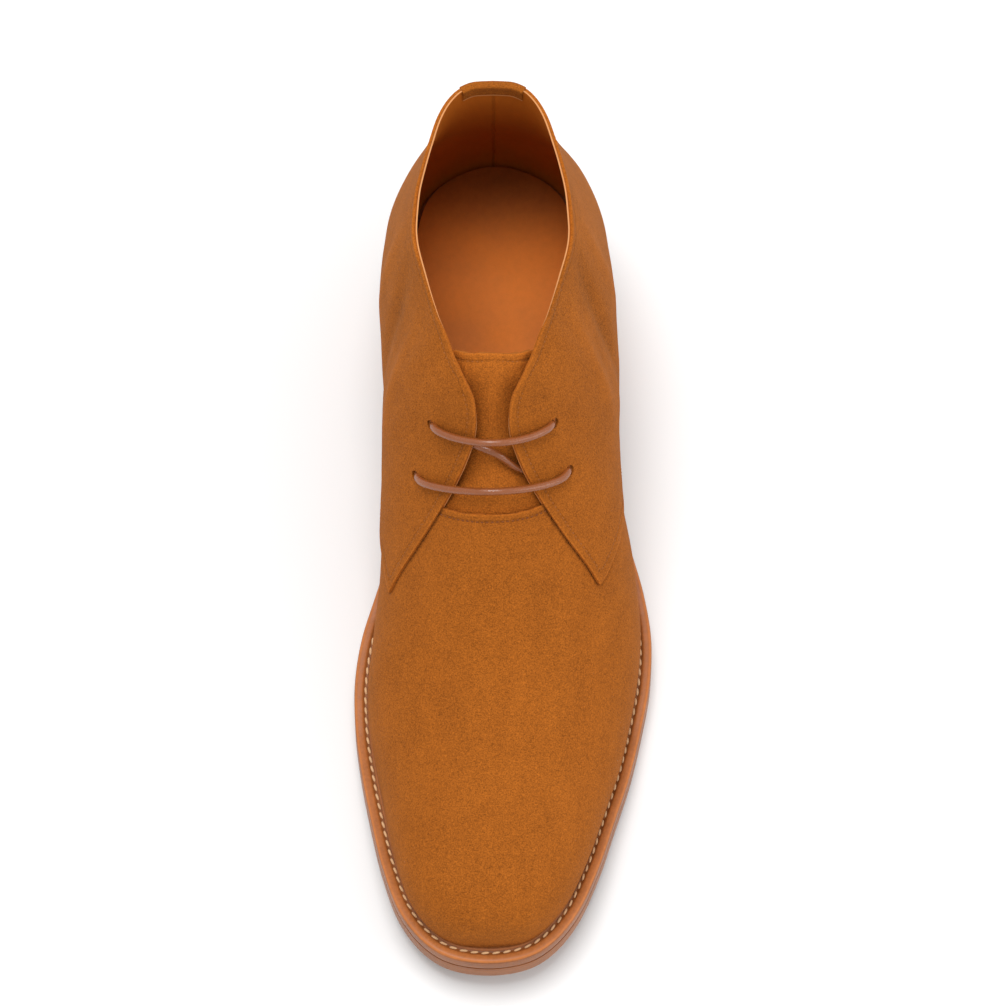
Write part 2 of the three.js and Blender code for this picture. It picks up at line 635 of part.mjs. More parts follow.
function tongueSolid() {
  const middle = RIDGE_CENTRE * BALL_WIDTH;
  const depth = column(TONGUE_DEPTH, "depth");
  const half = TONGUE_PLAN.map((row) => [row.half * HEEL_WIDTH, alongOf(row.station)]);
  const outer = half.map(([x, y]) => [middle + x, y]);
  const inner = half.reverse().map(([x, y]) => [middle - x, y]);
  const plan = [...outer, ...inner];
  return wall((y) => depth(stationOf(y)), (y) => depth(stationOf(y)) + TONGUE_WALL)
    .intersect(uprightPrism(plan, HEEL_HEIGHT, ABOVE))
    .intersect(belowTopline());
}

// Welt strip with a bevelled outer edge
function weltGeometry() {
  const bevel = 0.7;
  return hoop([
    { loop: inset(sole, bevel), height: weltBottom },
    { loop: sole, height: (y) => weltBottom(y) + bevel },
    { loop: sole, height: (y) => weltTop(y) - bevel },
    { loop: inset(sole, bevel), height: weltTop },
    { loop: inset(sole, WELT_WIDTH), height: weltTop },
    { loop: inset(sole, WELT_WIDTH), height: weltBottom },
  ]);
}

// Leather outsole, its tread edge eased
function outsoleGeometry() {
  const ease = 1;
  return slab([
    { loop: inset(sole, ease), height: underside },
    { loop: sole, height: (y) => underside(y) + ease },
    { loop: sole, height: (y) => outsoleTop(y) - ease / 2 },
    { loop: inset(sole, ease / 2), height: outsoleTop },
  ]);
}

// Insole in the upper, with the filler below it that fits inside the welt
function insoleGeometry() {
  const board = inset(sole, WELT_MARGIN + VAMP_WALL + GAP);
  const filler = inset(sole, WELT_WIDTH + GAP);
  return slab([
    { loop: filler, height: (y) => outsoleTop(y) + GAP },
    { loop: filler, height: featherHeight },
    { loop: board, height: featherHeight },
    { loop: board, height: (y) => featherHeight(y) + INSOLE },
  ]);
}

// Outline of the heel at a height: it sweeps back towards the floor
function heelLoop(height) {
  const share = Math.max(0, 1 - height / HEEL_HEIGHT);
  const back = new THREE.Vector3(0, (HEEL_SWEEP + HEEL_TAPER) * share, 0);
  return inset(sole, HEEL_TAPER * share).map((p) => p.add(back));
}

// One layer of the heel up to a flat or curved top, between two distances from the back
function heelLayer(bottom, top, from, to) {
  const block = toSolid(slab([
    { loop: heelLoop(bottom), height: () => bottom },
    { loop: heelLoop(top(alongOf(0))), height: top },
  ]));
  const [back, front] = [alongOf(0) - from, alongOf(0) - to];
  const plan = [[-BALL_WIDTH, front], [BALL_WIDTH, front], [BALL_WIDTH, back], [-BALL_WIDTH, back]];
  return block.intersect(uprightPrism(plan, -HEEL_HEIGHT, 2 * HEEL_HEIGHT));
}

const rubberTop = TOP_PIECE + GAP + RUBBER;
const topPieceBack = HEEL_LENGTH - TOP_PIECE_LENGTH;
const stackSolid = () => heelLayer(rubberTop + GAP, (y) => underside(y) - GAP, -BALL_WIDTH, HEEL_LENGTH);
const topPieceSolid = () => heelLayer(0, () => TOP_PIECE, topPieceBack, HEEL_LENGTH);

function rubberSolid() {
  return heelLayer(TOP_PIECE + GAP, () => rubberTop, -BALL_WIDTH, HEEL_LENGTH)
    .add(heelLayer(0, () => rubberTop, -BALL_WIDTH, topPieceBack - GAP));
}

function piece(name, geometry, material) {
  const mesh = new THREE.Mesh(geometry, material);
  mesh.name = name;
  return mesh;
}

const boot = new THREE.Group();
boot.add(
  piece("outsole", outsoleGeometry(), soleLeather),
  piece("welt", weltGeometry(), weltLeather),
  piece("insole", insoleGeometry(), liningLeather),
  piece("upper", toGeometry(upperSolid()), suede),
  piece("tongue", toGeometry(tongueSolid()), tongueSuede),
  piece("lace", cord(LACE / 2), laceLeather),
  piece("heel_stack", toGeometry(stackSolid()), stackLeather),
  piece("heel_rubber", toGeometry(rubberSolid()), rubber),
  piece("heel_top_piece", toGeometry(topPieceSolid()), topLeather),
);

export default boot;
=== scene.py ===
"""Left chukka boot in tan suede on a welted leather sole, dressed around its solid model.

Lengths are in millimetres while a piece is shaped, with +Z up, the toe towards -Y and the outer side
of the foot towards +X. A finished piece is scaled to metres in its mesh.
"""

import logging
import math
from dataclasses import dataclass
from enum import Enum
from typing import Callable, Iterable, Sequence

import bmesh
import bpy
import numpy as np
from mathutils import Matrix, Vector
from mathutils.bvhtree import BVHTree

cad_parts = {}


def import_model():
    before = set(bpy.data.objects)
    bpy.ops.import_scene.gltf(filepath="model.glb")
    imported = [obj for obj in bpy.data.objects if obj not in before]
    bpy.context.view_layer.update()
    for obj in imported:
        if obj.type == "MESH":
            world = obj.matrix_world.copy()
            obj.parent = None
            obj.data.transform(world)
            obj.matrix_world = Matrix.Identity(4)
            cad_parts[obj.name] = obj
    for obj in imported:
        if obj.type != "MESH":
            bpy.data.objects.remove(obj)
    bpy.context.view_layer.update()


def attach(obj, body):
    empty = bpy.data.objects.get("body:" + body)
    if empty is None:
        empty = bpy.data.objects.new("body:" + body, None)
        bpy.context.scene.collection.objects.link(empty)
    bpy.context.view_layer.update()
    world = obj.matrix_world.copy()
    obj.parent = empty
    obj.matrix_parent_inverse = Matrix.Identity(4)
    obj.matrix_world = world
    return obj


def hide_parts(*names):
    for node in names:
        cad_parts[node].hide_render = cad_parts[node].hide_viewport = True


LOG = logging.getLogger("boot")
MM = 0.001
BODY = "root"

# Sole outline: station from the heel, then outer and inner half widths, as shares of the heel width
HEEL_OUTLINE = ((0.024, 0.205, 0.275), (0.064, 0.388, 0.458), (0.13, 0.463, 0.532), (0.21, 0.459, 0.522))
# The same before the arch, as shares of the ball width
FRONT_OUTLINE = (
    (0.29, 0.317, 0.343), (0.36, 0.342, 0.323), (0.425, 0.381, 0.337), (0.483, 0.431, 0.378),
    (0.533, 0.473, 0.426), (0.586, 0.498, 0.473), (0.642, 0.494, 0.497), (0.701, 0.464, 0.494),
    (0.76, 0.425, 0.472), (0.819, 0.373, 0.44), (0.878, 0.32, 0.401), (0.936, 0.249, 0.342),
    (0.973, 0.168, 0.264), (0.992, 0.085, 0.182),
)
# Underside of the outsole: station and share of the heel height, then of the toe spring
SHANK = ((0, 1), (0.155, 0.905), (0.283, 0.72), (0.362, 0.53), (0.412, 0.37), (0.458, 0.22), (0.505, 0.1),
         (0.56, 0))
SPRING = ((0.71, 0), (0.765, 0.17), (0.813, 0.34), (0.861, 0.52), (0.921, 0.77), (1, 1))
# Ribs of the upper: station, top, half, height, outer, inner, rise, crown, drop
RIBS = (
    (0.032, 0.0755, 0, 1, 0.008, 0.006, 0.25, -0.085, 0.37),
    (0.0355, 0.0765, 0.078, 1, 0.009, 0.006, 0.25, -0.075, 0.37),
    (0.044, 0.0825, 0.145, 1, 0.014, 0.009, 0.25, -0.055, 0.37),
    (0.059, 0.096, 0.202, 1, 0.026, 0.022, 0.25, -0.02, 0.38),
    (0.08, 0.117, 0.248, 1, 0.048, 0.045, 0.26, 0.02, 0.38),
    (0.11, 0.144, 0.281, 1, 0.078, 0.074, 0.26, 0.057, 0.38),
    (0.15, 0.174, 0.312, 1, 0.11, 0.106, 0.27, 0.093, 0.37),
    (0.2, 0.211, 0.338, 1, 0.143, 0.139, 0.27, 0.13, 0.37),
    (0.25, 0.249, 0.344, 1.003, 0.168, 0.162, 0.28, 0.14, 0.36),
    (0.288, 0.28, 0.316, 1.022, 0.178, 0.174, 0.29, 0.13, 0.34),
    (0.312, 0.301, 0.287, 1.014, 0.178, 0.182, 0.3, 0.122, 0.31),
    (0.333, 0.322, 0.255, 1.009, 0.171, 0.188, 0.31, 0.12, 0.27),
    (0.35, 0.341, 0.222, 1.007, 0.162, 0.191, 0.32, 0.13, 0.225),
    (0.365, 0.358, 0.185, 1.007, 0.151, 0.192, 0.33, 0.155, 0.175),
    (0.379, 0.373, 0.138, 1.008, 0.139, 0.192, 0.34, 0.2, 0.115),
    (0.393, 0.386, 0, 1.006, 0.126, 0.191, 0.35, 0.4, 0.055),
    (0.41, 0.407, 0, 0.991, 0.108, 0.188, 0.36, 0.347, 0.04),
    (0.44, 0.433, 0, 0.963, 0.078, 0.173, 0.38, 0.29, 0.026),
    (0.475, 0.46, 0, 0.879, 0.043, 0.14, 0.405, 0.26, 0.015),
    (0.515, 0.498, 0, 0.761, 0.01, 0.084, 0.43, 0.262, 0),
    (0.565, 0.55, 0, 0.649, -0.03, 0.008, 0.46, 0.285, 0),
    (0.625, 0.612, 0, 0.545, -0.042, -0.042, 0.48, 0.3, 0),
    (0.7, 0.69, 0, 0.45, -0.023, -0.037, 0.5, 0.32, 0),
    (0.78, 0.77, 0, 0.403, 0.003, -0.033, 0.53, 0.34, 0),
    (0.855, 0.838, 0, 0.392, 0.01, -0.011, 0.56, 0.33, 0),
    (0.915, 0.884, 0, 0.384, 0.012, 0.003, 0.57, 0.28, 0),
    (0.95, 0.906, 0, 0.378, 0.01, 0.01, 0.57, 0.24, 0.01),
    (0.972, 0.918, 0, 0.372, 0.008, 0.008, 0.57, 0.215, 0.02),
    (0.9795, 0.923, 0, 0.369, 0.0065, 0.0065, 0.57, 0.205, 0.03),
)
# Pattern lines: station and height (share of the collar height), or station and half width
# (share of the heel width from the middle line of the instep)
TOPLINE = ((-0.1, 1.003), (0.07, 0.996), (0.15, 0.98), (0.25, 0.966), (0.32, 0.968), (0.35, 0.974),
           (0.38, 1), (0.43, 1.06))
FACING_EDGE = ((0.27, 0.29), (0.3, 0.297), (0.325, 0.283), (0.35, 0.256), (0.372, 0.227), (0.405, 0.178),
               (0.427, 0.13), (0.448, 0.088), (0.47, 0.084), (0.492, 0.13), (0.518, 0.215), (0.548, 0.34),
               (0.572, 0.455), (0.588, 0.515), (0.61, 0.61))
QUARTER_FRONT = ((0.6, 2), (0.6, 0.47), (0.598, 0.452), (0.587, 0.438), (0.55, 0.414), (0.493, 0.384),
                 (0.447, 0.35), (0.398, 0.287), (0.355, 0.22), (0.31, 0.1), (0.29, 0))
VAMP_BACK = ((0.52, 2), (0.52, 0.62), (0.47, 0.47), (0.38, 0.34), (0.27, 0.18), (0.27, 0))
TONGUE_DEPTH = ((0.38, 1.7), (0.42, 2.7), (0.445, 4.6), (0.5, 4.7), (0.512, 3), (0.522, 1.6), (0.55, 1.6))
TONGUE_TOP = ((-0.3, 0.395), (-0.235, 0.391), (-0.2, 0.389), (-0.13, 0.397), (-0.05, 0.401), (0.05, 0.401),
              (0.13, 0.397), (0.2, 0.389), (0.235, 0.391), (0.3, 0.395))
# Route of the lace: across (share of the heel width), station, lift over the upper in millimetres
LACE_ROUTE = (
    (0.31, 0.452, -4.2), (0.285, 0.449, -2.6), (0.272, 0.449, 0.4), (0.235, 0.455, 2.6), (0.14, 0.468, 3),
    (0, 0.477, 2.9), (-0.14, 0.468, 3), (-0.235, 0.455, 2.6), (-0.272, 0.449, 0.4), (-0.262, 0.453, -2.6),
    (-0.2, 0.467, -2.9), (-0.09, 0.482, -2.6), (0.03, 0.492, -2.6), (0.13, 0.498, -2.9),
    (0.27, 0.495, -2.9), (0.335, 0.488, -2.4), (0.347, 0.484, 0.4), (0.305, 0.493, 2.6), (0.19, 0.508, 3),
    (0, 0.518, 2.9), (-0.19, 0.508, 3), (-0.305, 0.493, 2.6), (-0.347, 0.484, 0.4), (-0.35, 0.482, -2.6),
    (-0.38, 0.476, -4.2),
)
# Depth of the channel for the welt's stitches, in millimetres
CHANNEL = 0.55
# Section of the welt: depth in from its rim, lift over its face, and 1 for its upper or 0 for its lower face
WELT_SECTION = (
    (15, 0, 0), (0.7, 0, 0), (0.15, 0.35, 0), (0, 1, 0), (0, -1.3, 1), (0.1, -0.75, 1), (0.4, -0.25, 1),
    (0.85, 0, 1), (1.6, 0, 1), (2.6, 0, 1), (3.05, -0.12, 1), (3.5, -CHANNEL, 1), (4, -CHANNEL, 1),
    (4.5, -CHANNEL, 1), (4.95, -0.12, 1), (5.4, 0, 1), (6.4, 0, 1), (9, 0, 1), (15, 0, 1), (15, 0, 0),
)
# Half width of the tongue (share of the heel width) at a station
TONGUE_HALF = ((0.39, 0.245), (0.505, 0.245), (0.54, 0.37))
# Punched holes: across and station
EYELETS = ((0.279, 0.4475), (-0.279, 0.4475), (0.354, 0.4825), (-0.354, 0.4825))


@dataclass(frozen=True)
class Sizes:
    """Driving sizes of the boot in millimetres, the same as in its solid model."""

    length: float = 304
    ball_width: float = 104
    heel_width: float = 73
    heel_height: float = 25.5
    toe_spring: float = 10.9
    collar: float = 134
    outsole: float = 5.6
    welt: float = 5.2
    margin: float = 6
    insole: float = 3
    heel_length: float = 84
    heel_taper: float = 0.8
    heel_sweep: float = 2.6
    toe_swell: float = 1
    rubber: float = 3.2
    top_piece: float = 4.7
    top_piece_length: float = 41
    step: float = 1.1
    lace: float = 2.7
    gap: float = 0.3


class Side(Enum):
    """The two sides of the foot."""

    OUTER = 1
    INNER = -1


class Plane(Enum):
    """View in which a pattern line is drawn, by the two axes it uses."""

    PLAN = (0, 1)
    PROFILE = (1, 2)


class Column:
    """Smooth reader of values against a station: cubic between the rows, never past them."""

    def __init__(self, at: Sequence[float], value: Sequence[float]) -> None:
        """Prepare the slopes.

        Args:
            at: Rising stations.
            value: The value at each.
        """
        self.at, self.value = np.asarray(at, float), np.asarray(value, float)
        step = np.diff(self.value) / np.diff(self.at)
        before, after = np.r_[step[0], step], np.r_[step, step[-1]]
        total = np.where(before + after == 0, 1, before + after)
        self.slope = np.where(before * after > 0, 2 * before * after / total, 0)

    def __call__(self, station: np.ndarray) -> np.ndarray:
        """Read the column.

        Args:
            station: One or more stations.

        Returns:
            The values there.
        """
        x = np.clip(station, self.at[0], self.at[-1])
        i = np.clip(np.searchsorted(self.at, x, side="right") - 1, 0, len(self.at) - 2)
        width = self.at[i + 1] - self.at[i]
        t = (x - self.at[i]) / width
        low, high = self.value[i], self.value[i + 1]
        start, end = t * (1 - t) ** 2 * width * self.slope[i], t * t * (t - 1) * width * self.slope[i + 1]
        return low + (high - low) * t * t * (3 - 2 * t) + start + end


def through(points: np.ndarray, at: np.ndarray, closed: bool = False) -> np.ndarray:
    """Centripetal curve through points.

    Args:
        points: The points it passes.
        at: Parameters from 0 to 1.
        closed: Whether it returns to its start.

    Returns:
        A point for each parameter.
    """
    points = np.asarray(points, float)
    count = len(points)
    place = np.asarray(at, float) * (count if closed else count - 1)
    if closed:
        i = np.floor(place).astype(int)
        corner = [points[(i + k) % count] for k in (-1, 0, 1, 2)]
    else:
        i = np.clip(np.floor(place).astype(int), 0, count - 2)
        ends = np.vstack([2 * points[0] - points[1], points, 2 * points[-1] - points[-2]])
        corner = [ends[i + k] for k in range(4)]
    w = (place - i)[:, None]
    d0, d1, d2 = (np.sqrt(np.linalg.norm(corner[k + 1] - corner[k], axis=1))[:, None] for k in range(3))
    p0, p1, p2, p3 = corner
    t1 = ((p1 - p0) / d0 - (p2 - p0) / (d0 + d1) + (p2 - p1) / d1) * d1
    t2 = ((p2 - p1) / d1 - (p3 - p1) / (d1 + d2) + (p3 - p2) / d2) * d1
    return p1 + t1 * w + (3 * (p2 - p1) - 2 * t1 - t2) * w**2 + (2 * (p1 - p2) + t1 + t2) * w**3


def inset(loop: np.ndarray, depth: float | np.ndarray) -> np.ndarray:
    """Move a closed plan loop inwards, square to itself.

    Args:
        loop: Its points, from the heel along the outer side.
        depth: Distance, one for all or one for each point.

    Returns:
        The moved loop.
    """
    along = np.roll(loop, -1, axis=0) - np.roll(loop, 1, axis=0)
    along /= np.linalg.norm(along, axis=1)[:, None]
    depth = np.broadcast_to(depth, len(loop))[:, None]
    return loop + np.column_stack([along[:, 1], -along[:, 0]]) * depth


def smoothstep(value: np.ndarray, low: float, high: float) -> np.ndarray:
    """Soft step from 0 at low to 1 at high."""
    t = np.clip((value - low) / (high - low), 0, 1)
    return t * t * (3 - 2 * t)


def reader(line: np.ndarray, axis: int) -> Callable[[np.ndarray], np.ndarray]:
    """Read one coordinate of a flat line against its other one.

    Args:
        line: Points of the line, two numbers each.
        axis: The coordinate it is read at, 0 or 1.

    Returns:
        A function that gives the line's other coordinate.
    """
    rising = line[np.argsort(line[:, axis], kind="stable")]
    return lambda where: np.interp(where, rising[:, axis], rising[:, 1 - axis])


class Last:
    """The form of the boot: outline of the sole, heights of its layers and the surface of the upper."""

    LOOP = 72
    FINE = 6001
    SUNK = 3

    def __init__(self, sizes: Sizes) -> None:
        """Set out the curves.

        Args:
            sizes: Driving sizes.
        """
        self.sizes = sizes
        self.shank, self.spring = Column(*zip(*SHANK)), Column(*zip(*SPRING))
        names = ("station", "top", "half", "height", "outer", "inner", "rise", "crown", "drop")
        rows = np.asarray(RIBS, float)
        self.rib = {name: Column(range(len(rows)), rows[:, i]) for i, name in enumerate(names)}
        self.ridge = -0.034 * sizes.ball_width
        self.sole = self.outline(self.LOOP)
        lapped = smoothstep(self.station(self.sole[:, 1]), 0.42, 0.52)
        self.feather = inset(self.sole, sizes.margin + sizes.step * (1 - lapped))

    def station(self, y: np.ndarray) -> np.ndarray:
        """Share of the length from the heel at a place along the boot."""
        return 0.5 - y / self.sizes.length

    def along(self, station: np.ndarray) -> np.ndarray:
        """Place along the boot at a station."""
        return (0.5 - np.asarray(station, float)) * self.sizes.length

    def outline(self, count: int) -> np.ndarray:
        """Closed outline of the sole in plan.

        Args:
            count: Number of points.

        Returns:
            Points from the heel along the outer side, round the toe and back.
        """
        s = self.sizes
        parts = ((HEEL_OUTLINE, s.heel_width), (FRONT_OUTLINE, s.ball_width))
        rows = [(*row, width) for part, width in parts for row in part]
        station, outer, inner, width = np.asarray(rows).T
        y = self.along(station)
        heel = [(-0.024 * s.ball_width, self.along(0) - s.heel_sweep)]
        toe = [(-0.048 * s.ball_width, self.along(1))]
        sides = np.column_stack([outer * width, y]), np.column_stack([-inner * width, y])[::-1]
        return through(np.vstack([heel, sides[0], toe, sides[1]]), np.arange(count) / count, closed=True)

    def underside(self, y: np.ndarray) -> np.ndarray:
        """Height of the outsole's underside."""
        station = self.station(y)
        return self.shank(station) * self.sizes.heel_height + self.spring(station) * self.sizes.toe_spring

    def swell(self, y: np.ndarray) -> np.ndarray:
        """Extra thickness of a layer of the sole towards the toe."""
        return self.sizes.toe_swell * self.spring(self.station(y))

    def outsole_top(self, y: np.ndarray) -> np.ndarray:
        """Height of the outsole's upper face."""
        return self.underside(y) + self.sizes.outsole + self.swell(y)

    def welt_top(self, y: np.ndarray) -> np.ndarray:
        """Height of the welt's upper face."""
        return self.outsole_top(y) + self.sizes.gap + self.sizes.welt + self.swell(y)

    def side_line(self, side: Side) -> tuple[np.ndarray, np.ndarray]:
        """Feather line of one side, from the heel to the toe, as parameters and points."""
        fine = np.linspace(0 if side is Side.OUTER else 1, 0.5, self.FINE)
        return fine, through(self.feather, fine, closed=True)

    def row_ends(self, side: Side) -> np.ndarray:
        """Find where the rows of the table of ribs stand on the feather line.

        Args:
            side: Side of the foot.

        Returns:
            The parameter of each row.
        """
        fine, line = self.side_line(side)
        ends = np.interp(self.rib["station"].value, self.station(line[:, 1]), fine)
        ends[[0, -1]] = fine[[0, -1]]
        return ends

    def places(self, spacing: float) -> tuple[np.ndarray, np.ndarray, np.ndarray]:
        """Where the ribs stand, heel to toe on the outer side and back on the inner side.

        Args:
            spacing: Rough distance between ribs along the feather line.

        Returns:
            Parameter on the feather line, row number and side of each rib.
        """
        ends, length = {}, {}
        for side in Side:
            fine, line = self.side_line(side)
            ends[side] = self.row_ends(side)
            run = np.r_[0, np.cumsum(np.linalg.norm(np.diff(line, axis=0), axis=1))]
            order = np.argsort(fine)
            length[side] = np.abs(np.diff(np.interp(ends[side], fine[order], run[order])))
        both = (length[Side.OUTER] + length[Side.INNER]) / 2
        rows = [np.linspace(i, i + 1, max(2, round(d / spacing)), endpoint=False) for i, d in enumerate(both)]
        number = np.arange(len(RIBS))
        rows = np.r_[np.concatenate(rows), number[-1]]
        outer, inner = (np.interp(rows, number, ends[side]) for side in Side)
        back = slice(-2, 0, -1)
        at = np.r_[outer, inner[back]]
        return at, np.r_[rows, rows[back]], np.r_[np.ones(len(rows)), -np.ones(len(rows) - 2)]

    def rib_points(self, at: np.ndarray, row: np.ndarray, side: np.ndarray, v: np.ndarray) -> np.ndarray:
        """Points on the surface of the upper.

        Args:
            at: Parameter on the feather line.
            row: Row number in the table of ribs.
            side: 1 on the outer side, -1 on the inner side.
            v: Place along the rib, 0 at the foot to 1 at its end.

        Returns:
            The points; the four arguments broadcast to their shape.
        """
        at, row, side, v = np.broadcast_arrays(at, row, side, v)
        s, shape = self.sizes, at.shape
        flat = at.ravel()
        foot = through(self.feather, flat, closed=True)
        after, before = (through(self.feather, flat + nudge, closed=True) for nudge in (1e-4, -1e-4))
        ahead = after - before
        ahead /= np.linalg.norm(ahead, axis=1)[:, None]
        out = np.column_stack([-ahead[:, 1], ahead[:, 0]])
        row, side, v = row.ravel(), side.ravel(), v.ravel()[:, None]
        bottom = self.welt_top(foot[:, 1]) + s.gap - self.SUNK
        top = self.rib["height"](row) * s.collar
        half = self.rib["half"](row) * s.heel_width * side
        end = np.column_stack([self.ridge + half, self.along(self.rib["top"](row))])
        reach = ((end - foot) * out).sum(axis=1)
        crown = self.rib["crown"](row) * s.heel_width
        spread = np.where(side > 0, self.rib["outer"](row), self.rib["inner"](row)) * s.heel_width
        belly = (27 * spread - 6 * (reach + crown) - reach) / 12
        tall = top - bottom
        low = np.column_stack([foot + out * belly[:, None], bottom + self.rib["rise"](row) * tall])
        high = np.column_stack([end + out * crown[:, None], top - self.rib["drop"](row) * tall])
        first, last = np.column_stack([foot, bottom]), np.column_stack([end, top])
        w = 1 - v
        curve = first * w**3 + 3 * low * w * w * v + 3 * high * w * v * v + last * v**3
        return curve.reshape(*shape, 3)


@dataclass
class Line:
    """Pattern line drawn on the boot in one view; a point is inside where the line says to keep it."""

    plane: Plane
    points: np.ndarray
    keep: Callable[[np.ndarray], np.ndarray]
    middle: float | None = None

    def reach(self, points: np.ndarray, normals: np.ndarray | None = None) -> np.ndarray:
        """Signed distance of points to the line, positive on the side that is kept.

        Args:
            points: Points on a surface.
            normals: Its normals there, to measure along the surface instead of in the view.

        Returns:
            Distances in millimetres.
        """
        flat = points[:, list(self.plane.value)].copy()
        mirrored = np.ones(len(points))
        if self.middle is not None:
            mirrored = np.sign(flat[:, 0] - self.middle)
            flat[:, 0] = np.abs(flat[:, 0] - self.middle)
        start, step = self.points[:-1], np.diff(self.points, axis=0)
        offset = flat[:, None, :] - start[None]
        t = np.clip((offset * step).sum(axis=2) / (step**2).sum(axis=1), 0, 1)
        away = offset - t[..., None] * step
        distance = np.linalg.norm(away, axis=2)
        best = distance.argmin(axis=1)
        index = np.arange(len(flat))
        distance, away = distance[index, best], away[index, best]
        if normals is not None:
            slope = np.zeros_like(points)
            slope[:, list(self.plane.value)] = away / np.maximum(distance, 1e-6)[:, None]
            if self.middle is not None:
                slope[:, 0] *= mirrored
            facing = (slope * normals).sum(axis=1)
            steepest = 0.12
            distance = distance / np.sqrt(np.maximum(1 - facing**2, steepest))
        return np.where(self.keep(points), distance, -distance)


@dataclass(frozen=True)
class Crease:
    """Soft trough or ridge in the leather, between two places given as station and height share."""

    start: tuple[float, float]
    end: tuple[float, float]
    width: float
    depth: float
    side: Side


def deselect() -> None:
    """Leave nothing selected."""
    if bpy.context.object and bpy.context.object.mode != "OBJECT":
        bpy.ops.object.mode_set(mode="OBJECT")
    bpy.ops.object.select_all(action="DESELECT")


def choose(obj: bpy.types.Object) -> None:
    """Select one piece alone.

    Args:
        obj: The piece.
    """
    deselect()
    bpy.context.view_layer.objects.active = obj
    obj.select_set(True)


def edit_all(obj: bpy.types.Object, operator: Callable[..., object], **settings: object) -> None:
    """Run an edit mode operator on a whole piece.

    Args:
        obj: The piece.
        operator: The operator.
        **settings: Its settings.
    """
    choose(obj)
    bpy.ops.object.mode_set(mode="EDIT")
    bpy.ops.mesh.select_all(action="SELECT")
    operator(**settings)
    bpy.ops.object.mode_set(mode="OBJECT")


def face_outwards(obj: bpy.types.Object) -> None:
    """Turn all faces of a closed piece outwards."""
    edit_all(obj, bpy.ops.mesh.normals_make_consistent, inside=False)


def add_object(name: str, data: bpy.types.ID) -> bpy.types.Object:
    """Put a mesh or a curve in the scene.

    Args:
        name: Name of the piece.
        data: Its mesh or curve.

    Returns:
        The piece.
    """
    obj = bpy.data.objects.new(name, data)
    bpy.context.scene.collection.objects.link(obj)
    return obj


def modify(obj: bpy.types.Object, kind: str, **settings: object) -> None:
    """Add a modifier to a piece and apply it.

    Args:
        obj: The piece.
        kind: Type of the modifier.
        **settings: Its settings.
    """
    choose(obj)
    modifier = obj.modifiers.new(kind.title(), kind)
    for name, value in settings.items():
        setattr(modifier, name, value)
    bpy.ops.object.modifier_apply(modifier=modifier.name)


def smooth(obj: bpy.types.Object, angle: float = 40) -> None:
    """Shade a piece smooth, with sharp edges past an angle in degrees."""
    choose(obj)
    bpy.ops.object.shade_smooth_by_angle(angle=math.radians(angle))


def grid_piece(name: str, points: np.ndarray, wrapped: bool = False) -> bpy.types.Object:
    """Sheet laid through a grid of points.

    Args:
        name: Name of the piece.
        points: Rows and columns of points in millimetres.
        wrapped: Whether the last row is the first one again.

    Returns:
        The piece, with points that meet merged.
    """
    if wrapped:
        points = np.concatenate([points, points[:1]])
    rows, columns = points.shape[:2]
    deselect()
    bpy.ops.mesh.primitive_grid_add(x_subdivisions=columns - 1, y_subdivisions=rows - 1, size=1)
    obj = bpy.context.object
    obj.name = obj.data.name = name
    obj.data.vertices.foreach_set("co", points.reshape(-1))
    edit_all(obj, bpy.ops.mesh.remove_doubles, threshold=1e-3)
    return obj


def coordinates(mesh: bpy.types.Mesh) -> np.ndarray:
    """Read the points of a mesh.

    Args:
        mesh: The mesh.

    Returns:
        The points as rows.
    """
    flat = np.empty(3 * len(mesh.vertices))
    mesh.vertices.foreach_get("co", flat)
    return flat.reshape(-1, 3)


def set_coordinates(mesh: bpy.types.Mesh, points: np.ndarray) -> None:
    """Move the points of a mesh."""
    mesh.vertices.foreach_set("co", np.ascontiguousarray(points, float).reshape(-1))
    mesh.update()


def normals_of(mesh: bpy.types.Mesh) -> np.ndarray:
    """Read the normals at the points of a mesh.

    Args:
        mesh: The mesh.

    Returns:
        The normals as rows.
    """
    flat = np.empty(3 * len(mesh.vertices))
    mesh.vertex_normals.foreach_get("vector", flat)
    return flat.reshape(-1, 3)


def mark(mesh: bpy.types.Mesh, name: str, values: np.ndarray) -> None:
    """Keep one number for each point of a mesh, for its finish to read."""
    layer = mesh.attributes.new(name, "FLOAT", "POINT")
    layer.data.foreach_set("value", np.ascontiguousarray(values, np.float32))


def clip(mesh: bpy.types.Mesh, field_of: Callable[[np.ndarray], np.ndarray]) -> None:
    """Cut a sheet along the zero line of a field and drop the part where the field is negative.

    Args:
        mesh: The sheet.
        field_of: Gives the field's value at each of the points.
    """
    value = field_of(coordinates(mesh))
    value = np.where(np.abs(value) < 1e-3, 1e-3, value)
    bm = bmesh.new()
    bm.from_mesh(mesh)
    bm.verts.ensure_lookup_table()
    dropped = [vert for vert in bm.verts if value[vert.index] < 0]
    crossing = [edge for edge in bm.edges if value[edge.verts[0].index] * value[edge.verts[1].index] < 0]
    fresh = set()
    for edge in crossing:
        near, far = edge.verts
        a, b = value[near.index], value[far.index]
        fresh.add(bmesh.utils.edge_split(edge, near, a / (a - b))[1])
    touched = {face for vert in fresh for face in vert.link_faces}
    for face in sorted(touched, key=lambda face: face.index):
        ends = [vert for vert in face.verts if vert in fresh]
        if len(ends) == 2:
            bmesh.utils.face_split(face, ends[0], ends[1])
    bmesh.ops.delete(bm, geom=dropped, context="VERTS")
    bm.to_mesh(mesh)
    bm.free()


